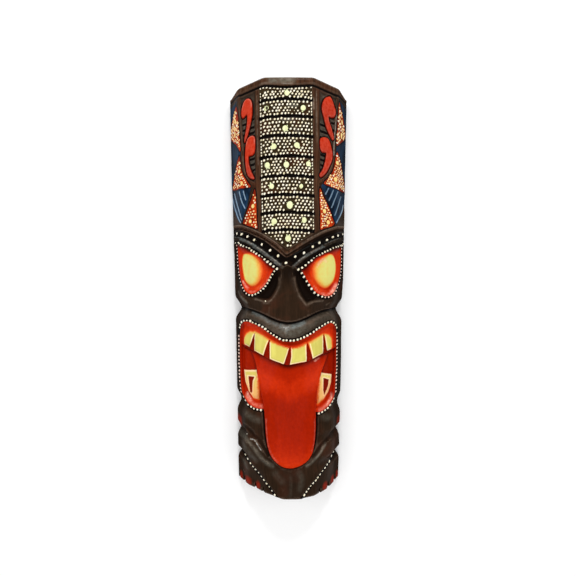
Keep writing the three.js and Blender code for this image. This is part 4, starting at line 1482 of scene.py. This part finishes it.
def buildDots():
    rng = random.Random(3)
    cream, pale, peach, rosy, amber, bare = (dotPaint(name, *pair) for name, pair in dotPaints.items())
    layDots("column_dots", columnDots(), cream)
    dropSpots = []
    for x, y, wide, tall in drops:
        dropSpots.append((x, y, tall, wide, upright))
        for turn in (rng.uniform(0, 6.3) for k in range(5)):
            size = rng.uniform(0.8, 1.3)
            dropSpots.append((x + wide * math.cos(turn), y + tall * math.sin(turn), size, size, 0))
    layDots("drop_dots", dropSpots, pale, thick=0.12)
    layDots("drop_ring", [bareSpot], bare, thick=0.1, lift=0.4)
    onPanels = panelDots()
    layDots("panel_dots", onPanels[::2] + onPanels[1::4], peach)
    layDots("panel_dots_pale", onPanels[3::4], cream)
    layDots("panel_drops", [(x, y, tall, wide, upright) for x, y, wide, tall in sideDrops], amber, thick=0.2)
    half, narrow, lean, waver = browDot.values()
    browSpots = [(x, y, half, narrow, lean + rng.uniform(-waver, waver))
                 for side in brow["dots"] for x, y in side]
    layDots("brow_dots", browSpots + strokes, cream)
    rimSpots, sideSpots = [], []
    for eye in eyes:
        line = curve(eye["rim"], closed=True)
        for start, end, pitch, size in eye["runs"]:
            target = sideSpots if start > 9 else rimSpots
            target += rowOf(line[start * 4:end * 4 + 1], pitch, size, rng)[1:]
    layDots("eye_dots", rimSpots, cream)
    mouthSpots = rowOf(curve(mouth["top"]), *dotRows["lip"], rng)
    for name in ("right", "left"):
        sideSpots += rowOf(curve(mouth[name]) - (0.3, 0), *dotRows["sides"], rng)
    bottom = curve(mouth["bottom"])
    onTongue = Carving(*bottom.T).insideCurve(tongue["outline"])
    for side in (-1, 1):
        mouthSpots += rowOf(bottom[(onTongue < -2) & (bottom[:, 0] * side > 0)], *dotRows["chin"], rng)
    layDots("mouth_dots", mouthSpots, cream)
    layDots("side_dots", sideSpots, rosy)
    footSpots = []
    for line, name in zip(body["footLines"], ("leftFoot", "rightFoot")):
        footSpots += rowOf(curve(line[1:-1]), *dotRows[name], rng)
    layDots("foot_dots", footSpots, cream)


# The room: a white table, soft light from all round and four lights, and the camera straight above
# the mask at arm's length.
camera = {"height": 555, "lens": 25.3, "sensor": 36, "x": -0.6, "y": 2.6}
table = {"half": 4, "below": 0.0006}
roomLight = 0.5
lights = [  # place in metres, size, watts
    ((-0.9, 0.3, 1.4), 1.0, 8),
    ((0.9, 0.3, 1.4), 1.0, 7),
    ((0.1, 1.1, 1.0), 0.16, 5),
    ((0, -0.8, 1.4), 1.0, 4),
]


def buildRoom():
    bm = bmesh.new()
    bmesh.ops.create_grid(bm, x_segments=1, y_segments=1, size=table["half"])
    material = newMaterial("white_table", {"Base Color": (1, 1, 1, 1), "Roughness": 0.9})[0]
    floor = putMesh(bm, "table_top", material)
    floor.data.transform(Matrix.Translation((0, 0, -table["below"])))
    world = bpy.data.worlds.new("room")
    world.use_nodes = True
    tree = world.node_tree
    feed(tree, tree.nodes["Background"], {"Color": (1, 1, 1, 1), "Strength": roomLight})
    scene.world = world
    for i, (spot, size, watts) in enumerate(lights):
        data = bpy.data.lights.new(f"soft_light_{i}", "AREA")
        data.size = size
        data.energy = watts
        lamp = putObject(data.name, data)
        lamp.location = spot
        lamp.rotation_euler = (-Vector(spot)).to_track_quat("-Z", "Y").to_euler()
    data = bpy.data.cameras.new("camera")
    data.lens = camera["lens"]
    data.sensor_width = camera["sensor"]
    data.clip_start = 0.01
    seer = putObject("camera", data)
    seer.location = (camera["x"] * mm, camera["y"] * mm, camera["height"] * mm)
    scene.camera = seer
    scene.view_settings.view_transform = "Standard"


buildRoom()
print("room done")
mask = buildMask()
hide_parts("carved_mask")
print("mask done")
buildDots()
print("dots done")
